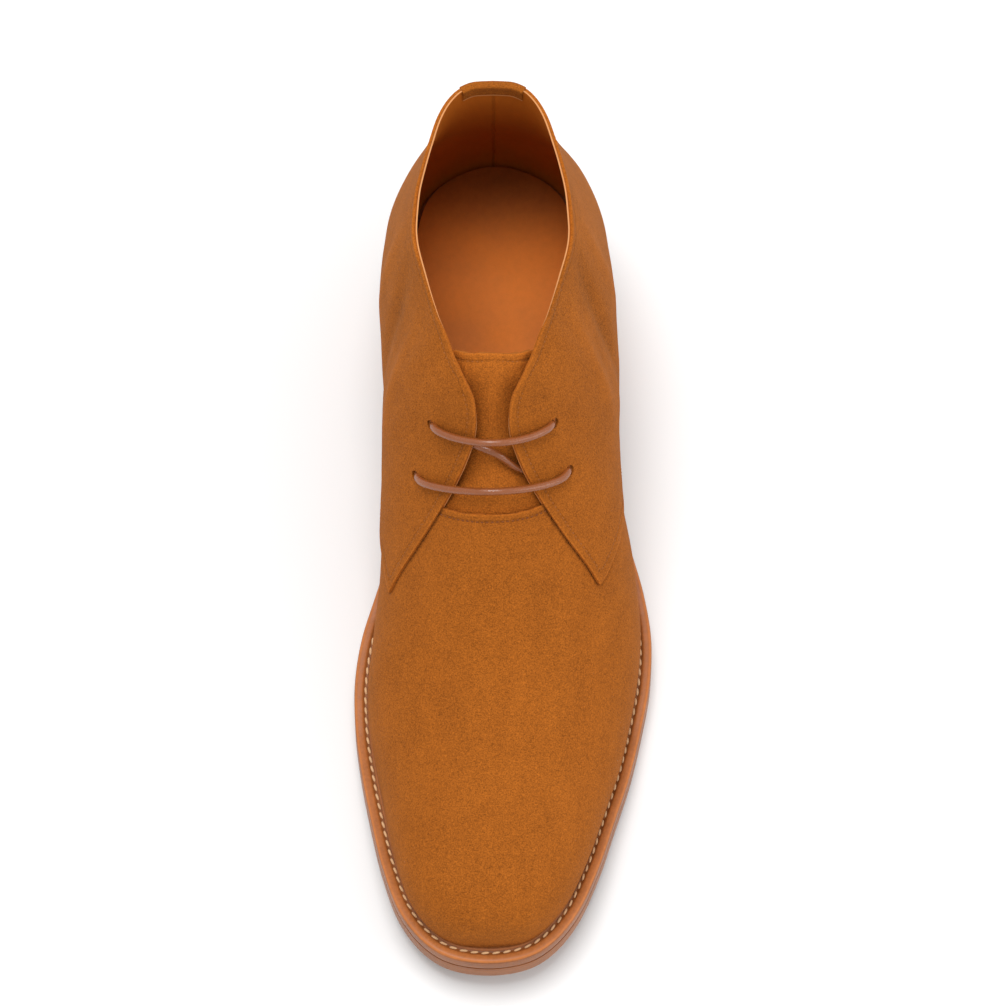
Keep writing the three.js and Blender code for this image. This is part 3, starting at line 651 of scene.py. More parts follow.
def tidy_rim(mesh: bpy.types.Mesh, distance: float = 0.4) -> None:
    """Merge points of a sheet's rim that lie close together, and drop loose bits.

    Args:
        mesh: The sheet.
        distance: How close, in millimetres.
    """
    bm = bmesh.new()
    bm.from_mesh(mesh)
    rim = [vert for vert in bm.verts if vert.is_boundary]
    bmesh.ops.remove_doubles(bm, verts=rim, dist=distance)
    loose = [vert for vert in bm.verts if not vert.link_faces]
    bmesh.ops.delete(bm, geom=loose, context="VERTS")
    bm.to_mesh(mesh)
    bm.free()


def soften(bm: bmesh.types.BMesh, verts: list[bmesh.types.BMVert], passes: int) -> None:
    """Smooth some points of a surface.

    Args:
        bm: The surface.
        verts: The points.
        passes: How often they are smoothed.
    """
    for _ in range(passes):
        bmesh.ops.smooth_vert(bm, verts=verts, factor=0.5, use_axis_x=True, use_axis_y=True, use_axis_z=True)


def refine(mesh: bpy.types.Mesh, centres: Iterable[np.ndarray], radius: float, cuts: int) -> None:
    """Divide the faces of a sheet finely round some places.

    Args:
        mesh: The sheet.
        centres: The places.
        radius: How far the finer faces reach.
        cuts: Cuts across each face.
    """
    bm = bmesh.new()
    bm.from_mesh(mesh)
    centres = [Vector(centre) for centre in centres]
    near = {vert for vert in bm.verts if any((vert.co - centre).length < radius for centre in centres)}
    edges = [edge for edge in bm.edges if edge.verts[0] in near and edge.verts[1] in near]
    bmesh.ops.subdivide_edges(bm, edges=edges, cuts=cuts, use_grid_fill=True)
    bm.to_mesh(mesh)
    bm.free()


def trace(mesh: bpy.types.Mesh, values: np.ndarray, level: float) -> list[np.ndarray]:
    """Follow the line on a sheet where a field has one value.

    Args:
        mesh: The sheet.
        values: The field at its points.
        level: The value.

    Returns:
        Chains of points with their normals, six numbers a row, the longest first.
    """
    bm = bmesh.new()
    bm.from_mesh(mesh)
    bm.edges.ensure_lookup_table()
    above = values > level
    crossing = {}
    for edge in bm.edges:
        a, b = edge.verts
        if above[a.index] != above[b.index]:
            t = (level - values[a.index]) / (values[b.index] - values[a.index])
            crossing[edge.index] = [*a.co.lerp(b.co, t), *a.normal.lerp(b.normal, t).normalized()]
    links: dict[int, list[int]] = {index: [] for index in crossing}
    for face in bm.faces:
        pair = [edge.index for edge in face.edges if edge.index in crossing]
        if len(pair) == 2:
            links[pair[0]].append(pair[1])
            links[pair[1]].append(pair[0])
    chains, seen = [], set()
    for first in sorted(crossing, key=lambda index: len(links[index])):
        if first in seen:
            continue
        chain, current = [], first
        while current is not None:
            seen.add(current)
            chain.append(crossing[current])
            current = next((index for index in links[current] if index not in seen), None)
        chains.append(np.array(chain))
    bm.free()
    return sorted(chains, key=len, reverse=True)


def even(chain: np.ndarray, pitch: float, soften: int = 6) -> tuple[np.ndarray, np.ndarray, np.ndarray]:
    """Space points evenly along a chain.

    Args:
        chain: Points with their normals.
        pitch: Distance between the new points.
        soften: How often the chain is smoothed before.

    Returns:
        Points, directions and normals.
    """
    chain = chain.copy()
    for _ in range(soften):
        chain[1:-1] = (chain[:-2] + 2 * chain[1:-1] + chain[2:]) / 4
    run = np.r_[0, np.cumsum(np.linalg.norm(np.diff(chain[:, :3], axis=0), axis=1))]
    count = max(2, round(run[-1] / pitch))
    at = (np.arange(count) + 0.5) * run[-1] / count
    near = 0.3
    here, ahead, behind = (np.column_stack([np.interp(where, run, chain[:, k]) for k in range(6)])
                           for where in (at, np.minimum(at + near, run[-1]), np.maximum(at - near, 0)))
    direction = ahead[:, :3] - behind[:, :3]
    direction /= np.linalg.norm(direction, axis=1)[:, None]
    normal = here[:, 3:] / np.linalg.norm(here[:, 3:], axis=1)[:, None]
    return here[:, :3], direction, normal


@dataclass(frozen=True)
class Stitch:
    """One stitch of a row: a short, bowed bit of thread."""

    length: float
    thread: float
    sink: float
    bow: float = 0.35

    def row(self, name: str, runs: Iterable[tuple[np.ndarray, np.ndarray, np.ndarray]],
            lean: float = 0) -> bpy.types.Object:
        """Sew a row of stitches.

        Args:
            name: Name of the piece.
            runs: Points, directions and normals of the rows.
            lean: How far each stitch turns from its row, in radians.

        Returns:
            All the stitches as one piece.
        """
        deselect()
        bpy.ops.mesh.primitive_uv_sphere_add(segments=8, ring_count=7, radius=1)
        model = bpy.context.object
        shape = coordinates(model.data)[:, [2, 0, 1]]
        shape = np.column_stack([np.sign(shape[:, 0]) * np.abs(shape[:, 0]) ** 0.75, shape[:, 1:]])
        shape *= (self.length / 2, self.thread / 2, self.thread / 2)
        shape[:, 2] -= self.bow * self.thread * (2 * shape[:, 0] / self.length) ** 2
        faces = [tuple(face.vertices) for face in model.data.polygons]
        bpy.data.objects.remove(model)
        points, polygons = [], []
        for place, direction, normal in runs:
            across = np.cross(normal, direction)
            across /= np.linalg.norm(across, axis=1)[:, None]
            upright = np.cross(direction, across)
            ahead = direction * math.cos(lean) + across * math.sin(lean)
            across = np.cross(upright, ahead)
            for i in range(len(place)):
                base = len(points) * len(shape)
                turned = shape @ np.array([ahead[i], across[i], upright[i]])
                points.append(turned + place[i] - upright[i] * self.sink)
                polygons += [tuple(base + k for k in face) for face in faces]
        mesh = bpy.data.meshes.new(name)
        mesh.from_pydata(np.concatenate(points).tolist(), [], polygons)
        obj = add_object(name, mesh)
        face_outwards(obj)
        smooth(obj, 80)
        return obj


class NodeValue:
    """A number or a link in a material; arithmetic on it adds Math nodes."""

    def __init__(self, shop: "NodeShop", socket: bpy.types.NodeSocket) -> None:
        """Wrap a socket of a material's nodes."""
        self.shop, self.socket = shop, socket

    def math(self, operation: str, *others: "NodeValue | float") -> "NodeValue":
        """Result of a Math node with this value first."""
        inputs = dict(enumerate((self, *others)))
        return self.shop.add("ShaderNodeMath", {"operation": operation}, inputs)

    def __add__(self, other: "NodeValue | float") -> "NodeValue":
        """Sum."""
        return self.math("ADD", other)

    __radd__ = __add__

    def __mul__(self, other: "NodeValue | float") -> "NodeValue":
        """Product."""
        return self.math("MULTIPLY", other)

    __rmul__ = __mul__

    def __sub__(self, other: "NodeValue | float") -> "NodeValue":
        """Difference."""
        return self.math("SUBTRACT", other)

    def __rsub__(self, other: float) -> "NodeValue":
        """Difference from a number."""
        return (self * -1) + other

    def __abs__(self) -> "NodeValue":
        """Size without sign."""
        return self.math("ABSOLUTE")

    def step(self, low: float, high: float) -> "NodeValue":
        """Soft step of this value.

        Args:
            low: Where the step is 0; it falls where this is the greater.
            high: Where it is 1.

        Returns:
            The step.
        """
        ends = (low, high, 0, 1) if low < high else (high, low, 1, 0)
        settings = {"interpolation_type": "SMOOTHSTEP"}
        return self.shop.add("ShaderNodeMapRange", settings, {0: self, **dict(zip((1, 2, 3, 4), ends))})


class NodeShop:
    """Adds nodes to one material."""

    def __init__(self, name: str) -> None:
        """Start an empty material.

        Args:
            name: Name of the material.
        """
        self.material = bpy.data.materials.new(name)
        self.material.use_nodes = True
        self.tree = self.material.node_tree
        self.tree.nodes.clear()

    def add(self, kind: str, settings: dict[str, object] | None = None,
            inputs: dict[int | str, object] | None = None, output: int | str = 0) -> NodeValue | None:
        """Add one node.

        Args:
            kind: Type of the node.
            settings: Its settings, which are set first.
            inputs: Numbers, colours or links for its sockets, by name or number.
            output: The socket to return.

        Returns:
            The chosen output, none for a node without outputs.
        """
        node = self.tree.nodes.new(kind)
        for name, value in (settings or {}).items():
            setattr(node, name, value)
        for key, value in (inputs or {}).items():
            socket = node.inputs[key]
            if isinstance(value, NodeValue):
                self.tree.links.new(value.socket, socket)
            elif isinstance(value, tuple) and len(value) == 3 and socket.type == "RGBA":
                socket.default_value = (*value, 1)
            else:
                socket.default_value = value
        return NodeValue(self, node.outputs[output]) if node.outputs else None

    def place(self, scale: tuple[float, float, float] = (1, 1, 1)) -> NodeValue:
        """Place on the boot, stretched by a scale along each axis."""
        where = self.add("ShaderNodeTexCoord", output="Object")
        return self.add("ShaderNodeMapping", {"vector_type": "POINT"}, {"Vector": where, "Scale": scale})

    def along(self, where: NodeValue, axis: str) -> NodeValue:
        """One coordinate of a place."""
        return self.add("ShaderNodeSeparateXYZ", inputs={0: where}, output=axis)

    def joined(self, x: NodeValue, y: NodeValue, z: NodeValue) -> NodeValue:
        """Place made of three coordinates."""
        return self.add("ShaderNodeCombineXYZ", inputs={0: x, 1: y, 2: z})

    def noise(self, size: float, detail: float = 2, roughness: float = 0.5, where: NodeValue | None = None,
              distortion: float = 0) -> NodeValue:
        """Cloudy pattern around 0.

        Args:
            size: Rough size of its blots in millimetres.
            detail: Finer layers in it.
            roughness: Strength of the finer layers.
            where: Place it reads, the place on the boot if left out.
            distortion: How far it is warped.

        Returns:
            The pattern, about -0.5 to 0.5.
        """
        inputs = {"Vector": where or self.place(), "Scale": 1000 / size, "Detail": detail,
                  "Roughness": roughness, "Distortion": distortion}
        return self.add("ShaderNodeTexNoise", {}, inputs) - 0.5

    def attribute(self, name: str) -> NodeValue:
        """Number kept at the points of the mesh."""
        settings = {"attribute_type": "GEOMETRY", "attribute_name": name}
        return self.add("ShaderNodeAttribute", settings, output="Fac")

    def mix(self, factor: NodeValue | float, first: object, second: object) -> NodeValue:
        """Blend of two colours."""
        settings = {"data_type": "RGBA", "clamp_factor": True}
        return self.add("ShaderNodeMix", settings, {0: factor, 6: first, 7: second}, output=2)

    def shade(self, colour: object, tone: NodeValue) -> NodeValue:
        """Colour made darker or lighter by a tone around 1."""
        return self.add("ShaderNodeVectorMath", {"operation": "SCALE"}, {0: colour, "Scale": tone})

    def bump(self, height: NodeValue, distance: float, strength: float = 1) -> NodeValue:
        """Normal from a height.

        Args:
            height: The height, where 1 stands for the distance.
            distance: Relief in millimetres.
            strength: Share of it that shows.

        Returns:
            The normal.
        """
        inputs = {"Strength": strength, "Distance": distance * MM, "Height": height}
        return self.add("ShaderNodeBump", inputs=inputs)

    def finish(self, inputs: dict[str, object]) -> bpy.types.Material:
        """Close the material with its surface shader.

        Args:
            inputs: Values and links of the shader's sockets.

        Returns:
            The material.
        """
        surface = self.add("ShaderNodeBsdfPrincipled", inputs=inputs)
        self.add("ShaderNodeOutputMaterial", inputs={"Surface": surface})
        return self.material


def tint(red: float, green: float, blue: float) -> tuple[float, float, float]:
    """Linear colour of a swatch.

    Args:
        red: Its red, 0 to 255.
        green: Its green.
        blue: Its blue.

    Returns:
        The three channels, 0 to 1.
    """
    shares = (red / 255, green / 255, blue / 255)
    return tuple(share / 12.92 if share <= 0.04045 else ((share + 0.055) / 1.055) ** 2.4 for share in shares)


@dataclass(frozen=True)
class Suede:
    """Suede: short brushed nap with fine flecks, and soft blots where a hand has stroked it."""

    name: str
    colour: tuple[float, float, float] = tint(149, 82, 24)
    seam: float = 3.0
    painted_crease_shading: bool = False
    # lapped: paint the contact shadow of the quarters' edges on this suede
    # painted_crease_shading paints shade in the creases' troughs and light on their ridges
    lapped: bool = False

    def material(self) -> bpy.types.Material:
        """Build the finish.

        Returns:
            The material.
        """
        shop = NodeShop(self.name)
        fleck = shop.noise(0.48, 3, 0.7)
        grain = shop.noise(1.5, 3, 0.6)
        stroke = shop.noise(9, 3, 0.55, where=shop.place((1, 0.6, 1)), distortion=0.6)
        blot = shop.noise(38, 2, 0.5)
        tone = fleck * 2.2 + grain * 0.45 + stroke * 0.25 + blot * 0.14 + 1
        height = fleck + grain * 0.8 + stroke * 0.8
        # Painted shade in the creases' troughs and painted light on their ridges, from how far the creases
        # move the surface.
        if self.painted_crease_shading:
            tone = tone + shop.attribute("crease") * 0.13
        # Painted contact shadow: a dark line on the vamp along the edges of the quarters that lap over it.
        if self.lapped:
            tone = tone - shop.attribute("lap").step(1.7, 0.2) * 0.6
        edge = shop.attribute("edge")
        # Painted shade along the stitch groove; lighter along the cut edge, partly its own paler raw colour
        # and partly a painted highlight on its rounded top.
        groove = abs(edge - self.seam).step(0.75, 0.1)
        rim = edge.step(1.1, 0.2)
        tone = tone - groove * 0.13 + rim * 0.22
        height = height - groove * 1.6 - rim * 0.8
        warmth = stroke * 0.6 + fleck * 0.5 + 0.5
        dark, light = (tuple(c * k for c, k in zip(self.colour, factor))
                       for factor in ((0.93, 0.9, 0.9), (1.07, 1.1, 1.1)))
        colour = shop.shade(shop.mix(warmth, dark, light), tone)
        return shop.finish({
            "Base Color": colour, "Roughness": 0.9, "Specular IOR Level": 0.08, "Sheen Weight": 0.06,
            "Sheen Roughness": 0.45, "Sheen Tint": (1.0, 0.6, 0.25),
            "Normal": shop.bump(height, 0.16, 0.9),
        })


@dataclass(frozen=True)
class RawEdge:
    """Cut edge of the suede, paler than its face."""

    name: str = "suede_edge"
    colour: tuple[float, float, float] = tint(172, 100, 38)

    def material(self) -> bpy.types.Material:
        """Build the finish.

        Returns:
            The material.
        """
        shop = NodeShop(self.name)
        fibre = shop.noise(0.5, 3, 0.7)
        colour = shop.shade(self.colour, fibre * 0.5 + 1)
        return shop.finish({"Base Color": colour, "Roughness": 0.95, "Specular IOR Level": 0.1,
                            "Normal": shop.bump(fibre, 0.15)})


@dataclass(frozen=True)
class Lining:
    """Smooth vegetable-tanned lining leather with a fine grain and faint rubbed places."""

    name: str
    colour: tuple[float, float, float] = tint(184, 100, 28)
    seam_x: float | None = None
    roughness: float = 0.6
    painted_insole_shade: bool = False

    def material(self) -> bpy.types.Material:
        """Build the finish.

        Returns:
            The material.
        """
        shop = NodeShop(self.name)
        pore = shop.noise(0.45, 2, 0.6)
        wrinkle = shop.noise(2.6, 3, 0.6, where=shop.place((1, 1, 0.45)))
        rub = shop.noise(24, 2, 0.5)
        tone = pore * 0.12 + wrinkle * 0.16 + rub * 0.3 + 1
        height = pore * 0.6 + wrinkle
        if self.seam_x is not None:
            where = shop.place()
            back = shop.along(where, "Y").step(0.108, 0.113)
            seam = abs(shop.along(where, "X") - self.seam_x * MM).step(0.0009, 0.0001) * back
            tone = tone - seam * 0.2
            height = height - seam * 3
        # Painted shade: darker towards the heel, where the collar's back shades the insole, and towards the
        # front, under the tongue.
        if self.painted_insole_shade:
            y = shop.along(shop.place(), "Y")
            tone = tone - y.step(0.108, 0.138) * 0.6 - y.step(0.1, 0.078) * 0.22
        return shop.finish({
            "Base Color": shop.shade(self.colour, tone), "Roughness": rub * 0.25 + self.roughness,
            "Specular IOR Level": 0.16, "Normal": shop.bump(height, 0.06),
        })


@dataclass(frozen=True)
class EdgeLeather:
    """Trimmed and waxed edge of sole leather: long fibres that run along the layer, darker in the dents."""

    name: str
    colour: tuple[float, float, float]
    contrast: float = 0.9
    roughness: float = 0.45
    seams: tuple[float, ...] = ()

    def material(self) -> bpy.types.Material:
        """Build the finish.

        Returns:
            The material.
        """
        shop = NodeShop(self.name)
        where = shop.place()
        tall = shop.attribute("tall")
        x, y = shop.along(where, "X"), shop.along(where, "Y")
        layered = shop.joined(x * 0.03, y * 0.03, tall * MM)
        streak = shop.noise(0.55, 4, 0.65, where=layered, distortion=0.3)
        band = shop.noise(2.4, 2, 0.5, where=layered)
        pore = shop.noise(0.4, 2, 0.6)
        blot = shop.noise(14, 3, 0.55)
        tone = streak * self.contrast + band * 0.4 + pore * 0.2 + blot * 0.3 + 1
        height = streak * 1.4 + pore * 0.5
        for seam in self.seams:
            line = abs(tall - seam).step(0.35, 0.05)
            tone = tone - line * 0.42
            height = height - line * 2.5
        return shop.finish({
            "Base Color": shop.shade(self.colour, tone), "Roughness": streak * 0.3 + self.roughness,
            "Specular IOR Level": 0.25, "Coat Weight": blot * 0.1 + 0.06, "Coat Roughness": 0.35,
            "Normal": shop.bump(height, 0.1),
        })


@dataclass(frozen=True)
class WeltTop:
    """Upper face of the welt: waxed grain leather, with a painted highlight along its trimmed rim, painted
    shade in the stitch channel and painted shadow where the upper sits.
    """

    name: str = "welt_leather"
    colour: tuple[float, float, float] = tint(166, 98, 47)

    def material(self) -> bpy.types.Material:
        """Build the finish.

        Returns:
            The material.
        """
        shop = NodeShop(self.name)
        edge, tall = shop.attribute("edge"), shop.attribute("tall")
        where = shop.place()
        layered = shop.joined(shop.along(where, "X") * 0.03, shop.along(where, "Y") * 0.03, tall * MM)
        streak = shop.noise(0.55, 4, 0.65, where=layered, distortion=0.3)
        scuff = shop.noise(1.3, 4, 0.65)
        blot = shop.noise(12, 3, 0.6)
        # Painted highlight along the trimmed rim.
        rim = abs(edge - 0.55).step(0.6, 0.1)
        # Darker in the stitch channel: the dark needle holes there, with painted shade in the groove.
        channel = abs(edge - 4.0).step(1.2, 0.5)
        side = edge.step(0.35, 0.1)
        # Painted shadow along the seat, where the upper meets the welt.
        seat = edge.step(4.9, 5.6)
        tone = streak * side * 0.9 + scuff * 0.6 + blot * 0.4 + rim * 0.22 - channel * 0.4 - seat * 0.35 + 1
        tone = tone - side * 0.28
        height = streak * side * 1.4 + scuff
        return shop.finish({
            "Base Color": shop.shade(self.colour, tone), "Roughness": scuff * 0.3 + 0.42,
            "Specular IOR Level": 0.25, "Coat Weight": blot * 0.1 + 0.06, "Coat Roughness": 0.3,
            "Normal": shop.bump(height, 0.09),
        })


@dataclass(frozen=True)
class Rubber:
    """Matt black heel rubber."""

    name: str = "heel_rubber"
    colour: tuple[float, float, float] = tint(40, 39, 38)

    def material(self) -> bpy.types.Material:
        """Build the finish.

        Returns:
            The material.
        """
        shop = NodeShop(self.name)
        fine = shop.noise(0.5, 3, 0.6)
        dust = shop.noise(7, 3, 0.6)
        return shop.finish({
            "Base Color": shop.shade(self.colour, fine * 0.3 + dust * 0.5 + 1),
            "Roughness": dust * 0.2 + 0.62, "Specular IOR Level": 0.35, "Normal": shop.bump(fine, 0.06),
        })


@dataclass(frozen=True)
class WaxedCord:
    """Round waxed lace: soft shine over a faint weave."""

    name: str = "lace_leather"
    colour: tuple[float, float, float] = tint(136, 74, 34)

    def material(self) -> bpy.types.Material:
        """Build the finish.

        Returns:
            The material.
        """
        shop = NodeShop(self.name)
        where = shop.place((0.35, 1, 1))
        weave = shop.noise(0.5, 2, 0.6, where=where)
        wax = shop.noise(3.5, 3, 0.6)
        return shop.finish({
            "Base Color": shop.shade(self.colour, weave * 0.35 + wax * 0.3 + 1),
            "Roughness": wax * 0.3 + 0.26, "Specular IOR Level": 0.65, "Normal": shop.bump(weave, 0.1),
        })


@dataclass(frozen=True)
class Thread:
    """Twisted sewing thread."""

    name: str
    colour: tuple[float, float, float]

    def material(self) -> bpy.types.Material:
        """Build the finish.

        Returns:
            The material.
        """
        shop = NodeShop(self.name)
        twist = shop.noise(0.3, 2, 0.6)
        shade = shop.noise(5, 2, 0.5)
        return shop.finish({
            "Base Color": shop.shade(self.colour, twist * 0.5 + shade * 0.3 + 1), "Roughness": 0.7,
            "Specular IOR Level": 0.3, "Normal": shop.bump(twist, 0.08),
        })


def dress(obj: bpy.types.Object, finishes: Sequence[bpy.types.Material],
          replaces: Sequence[str] = ()) -> bpy.types.Object:
    """Scale a finished piece to metres, give it its materials and set it on the boot.

    Args:
        obj: The piece in millimetres.
        finishes: Its materials, in the order of its faces' numbers.
        replaces: Solids of the model that it stands for.

    Returns:
        The piece.
    """
    set_coordinates(obj.data, coordinates(obj.data) * MM)
    have = len(obj.data.materials)
    for i, finish in enumerate(finishes):
        if i < have:
            obj.data.materials[i] = finish
        else:
            obj.data.materials.append(finish)
    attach(obj, BODY)
    if replaces:
        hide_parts(*replaces)
    LOG.info("%s: %d faces", obj.name, len(obj.data.polygons))
    return obj


@dataclass
class Sole:
    """Outsole, welt, insole and the three parts of the heel."""

    last: Last
    finishes: dict[str, bpy.types.Material]
    count: int = 288
    outsole_ease: float = 0.9
    lap: float = 0.12
    stitch_in: float = 4.0
    pitch: float = 3.75
    lean: float = 0.16
    insole_in: float = 2.2

    def loop(self) -> np.ndarray:
        """Fine outline of the sole."""
        return self.last.outline(self.count)

    def across(self, loop: np.ndarray, height: Callable[[np.ndarray], np.ndarray],
               columns: int = 9) -> np.ndarray:
        """Grid across a loop, from its outer to its inner side.

        Args:
            loop: Closed outline.
            height: Height at a place along the boot.
            columns: Points in each row.

        Returns:
            Rows of points from the heel to the toe.
        """
        half = len(loop) // 2
        outer, inner = loop[: half + 1], np.vstack([loop[:1], loop[half:][::-1]])
        share = np.linspace(0, 1, columns)[None, :, None]
        plan = outer[:, None] * (1 - share) + inner[:, None] * share
        return np.concatenate([plan, height(plan[..., 1])[..., None]], axis=2)

    def slab(self, name: str, loop: np.ndarray, bottom: Callable[[np.ndarray], np.ndarray],
             top: Callable[[np.ndarray], np.ndarray]) -> bpy.types.Object:
        """Closed slab over an outline, extruded from a sheet.

        Args:
            name: Name of the piece.
            loop: Its outline.
            bottom: Height of its lower face along the boot.
            top: Height of its upper face.

        Returns:
            The slab.
        """
        obj = grid_piece(name, self.across(loop, bottom))
        lift = 500.0
        edit_all(obj, bpy.ops.mesh.extrude_region_move, TRANSFORM_OT_translate={"value": (0, 0, lift)})
        face_outwards(obj)
        points = coordinates(obj.data)
        raised = points[:, 2] > lift / 2
        points[raised, 2] = top(points[raised, 1])
        set_coordinates(obj.data, points)
        return obj

    def bevel(self, obj: bpy.types.Object, width: float, angle: float = 60) -> None:
        """Ease the rims of a piece."""
        modify(obj, "BEVEL", width=width, segments=3, limit_method="ANGLE",
               angle_limit=math.radians(angle), harden_normals=False)

    def outsole(self) -> bpy.types.Object:
        """Leather outsole with eased edges.

        Returns:
            The piece.
        """
        last = self.last
        obj = self.slab("leather_outsole", self.loop(), last.underside, last.outsole_top)
        self.bevel(obj, self.outsole_ease)
        points = coordinates(obj.data)
        mark(obj.data, "tall", points[:, 2] - last.underside(points[:, 1]))
        smooth(obj, 50)
        return dress(obj, [self.finishes["outsole"]], ["outsole"])

    def welt(self) -> bpy.types.Object:
        """Welt with a trimmed rim and the channel that the stitches lie in.

        Returns:
            The piece.
        """
        last, s = self.last, self.last.sizes
        rows = []
        for depth, lift, upper in WELT_SECTION:
            loop = inset(self.loop(), depth)
            y = loop[:, 1]
            base = last.welt_top(y) if upper else last.outsole_top(y) + s.gap * 0.2
            rows.append(np.column_stack([loop, base + lift]))
        obj = grid_piece("stitched_welt", np.stack(rows, axis=1), wrapped=True)
        points = coordinates(obj.data)
        closed = np.vstack([self.loop(), self.loop()[:1]])
        rim = Line(Plane.PLAN, closed, lambda p: np.ones(len(p), bool))
        mark(obj.data, "edge", rim.reach(points))
        mark(obj.data, "tall", points[:, 2] - last.underside(points[:, 1]))
        face_outwards(obj)
        smooth(obj, 60)
        return dress(obj, [self.finishes["welt"]], ["welt"])

    def welt_stitches(self) -> bpy.types.Object:
        """Lockstitches round the welt.

        Returns:
            The stitches as one piece.
        """
        last = self.last
        loop = inset(self.loop(), self.stitch_in)
        loop = np.vstack([loop, loop[:1]])
        line = np.column_stack([loop, last.welt_top(loop[:, 1]) - CHANNEL])
        normal = np.tile([0.0, 0.0, 1.0], (len(line), 1))
        run = even(np.column_stack([line, normal]), self.pitch, soften=0)
        stitch = Stitch(length=2.95, thread=0.95, sink=-0.08)
        obj = stitch.row("welt_stitches", [run], self.lean)
        return dress(obj, [self.finishes["welt_thread"]])

    def insole(self) -> bpy.types.Object:
        """Leather insole with the filler under it.

        Returns:
            The piece.
        """
        last, s = self.last, self.last.sizes
        loop = inset(self.loop(), s.margin + self.insole_in)
        obj = self.slab("leather_insole", loop, lambda y: last.outsole_top(y) + s.gap,
                        lambda y: last.welt_top(y) + s.gap + s.insole)
        self.bevel(obj, 0.8)
        smooth(obj, 50)
        return dress(obj, [self.finishes["insole"]], ["insole"])

    def heel_loop(self, height: float) -> np.ndarray:
        """Outline of the heel, which sweeps back towards the floor.

        Args:
            height: Height over the floor.

        Returns:
            The outline there.
        """
        s = self.last.sizes
        share = max(0.0, 1 - height / s.heel_height)
        return inset(self.loop(), s.heel_taper * share) + (0, (s.heel_sweep + s.heel_taper) * share)

    def heel_layer(self, name: str, bottom: float, top: Callable[[np.ndarray], np.ndarray] | float,
                   back: float | None, front: float) -> bpy.types.Object:
        """One layer of the heel, cut across behind and in front.

        Args:
            name: Name of the piece.
            bottom: Height of its lower face.
            top: Height of its upper face.
            back: Distance of its back cut from the back of the sole, none for the round back.
            front: Distance of its front cut.

        Returns:
            The layer.
        """
        last = self.last
        upper = top if callable(top) else (lambda y: np.full(np.shape(y), float(top)))
        obj = self.slab(name, self.heel_loop(bottom), lambda y: np.full(np.shape(y), float(bottom)), upper)
        points = coordinates(obj.data)
        raised = points[:, 2] > bottom + 0.2
        low, high = self.heel_loop(bottom), self.heel_loop(float(np.max(upper(last.along(np.array([0.0]))))))
        width = np.ptp(high[:, 0]) / np.ptp(low[:, 0])
        shift = high[0, 1] - low[0, 1]
        points[raised, 0] *= width
        points[raised, 1] += shift
        points[raised, 2] = upper(points[raised, 1])
        set_coordinates(obj.data, points)
        cuts = [(last.along(0) - front, -1)] + ([] if back is None else [(last.along(0) - back, 1)])
        for y, way in cuts:
            edit_all(obj, bpy.ops.mesh.bisect, plane_co=(0, float(y), 0), plane_no=(0, way, 0), use_fill=True,
                     clear_outer=True, clear_inner=False)
        mark(obj.data, "tall", coordinates(obj.data)[:, 2])
        return obj

    def heel(self) -> list[bpy.types.Object]:
        """Stacked leather heel on its rubber layer and top piece.

        Returns:
            The four pieces.
        """
        last, s = self.last, self.last.sizes
        rubber_top = s.top_piece + s.gap + s.rubber
        stack = self.heel_layer("heel_lifts", rubber_top + self.lap, lambda y: last.underside(y) - self.lap,
                                None, s.heel_length)
        self.bevel(stack, 0.25)
        smooth(stack, 40)
        split = s.heel_length - s.top_piece_length
        rubber = self.heel_layer("rubber_lift", s.top_piece + self.lap, rubber_top, None, s.heel_length)
        foot = self.heel_layer("rubber_foot", 0, s.top_piece + self.lap, None, split - 0.1)
        piece = self.heel_layer("leather_top_piece", 0, s.top_piece, split + 0.1, s.heel_length)
        for obj in (rubber, foot, piece):
            self.bevel(obj, 0.3)
            smooth(obj, 40)
        dark, top = self.finishes["rubber"], self.finishes["top_piece"]
        return [
            dress(stack, [self.finishes["stack"]], ["heel_stack"]),
            dress(rubber, [dark], ["heel_rubber"]),
            dress(foot, [dark]),
            dress(piece, [top], ["heel_top_piece"]),
        ]

    def build(self) -> None:
        """Make and dress the whole sole."""
        self.outsole()
        self.welt()
        self.welt_stitches()
        self.insole()
        self.heel()


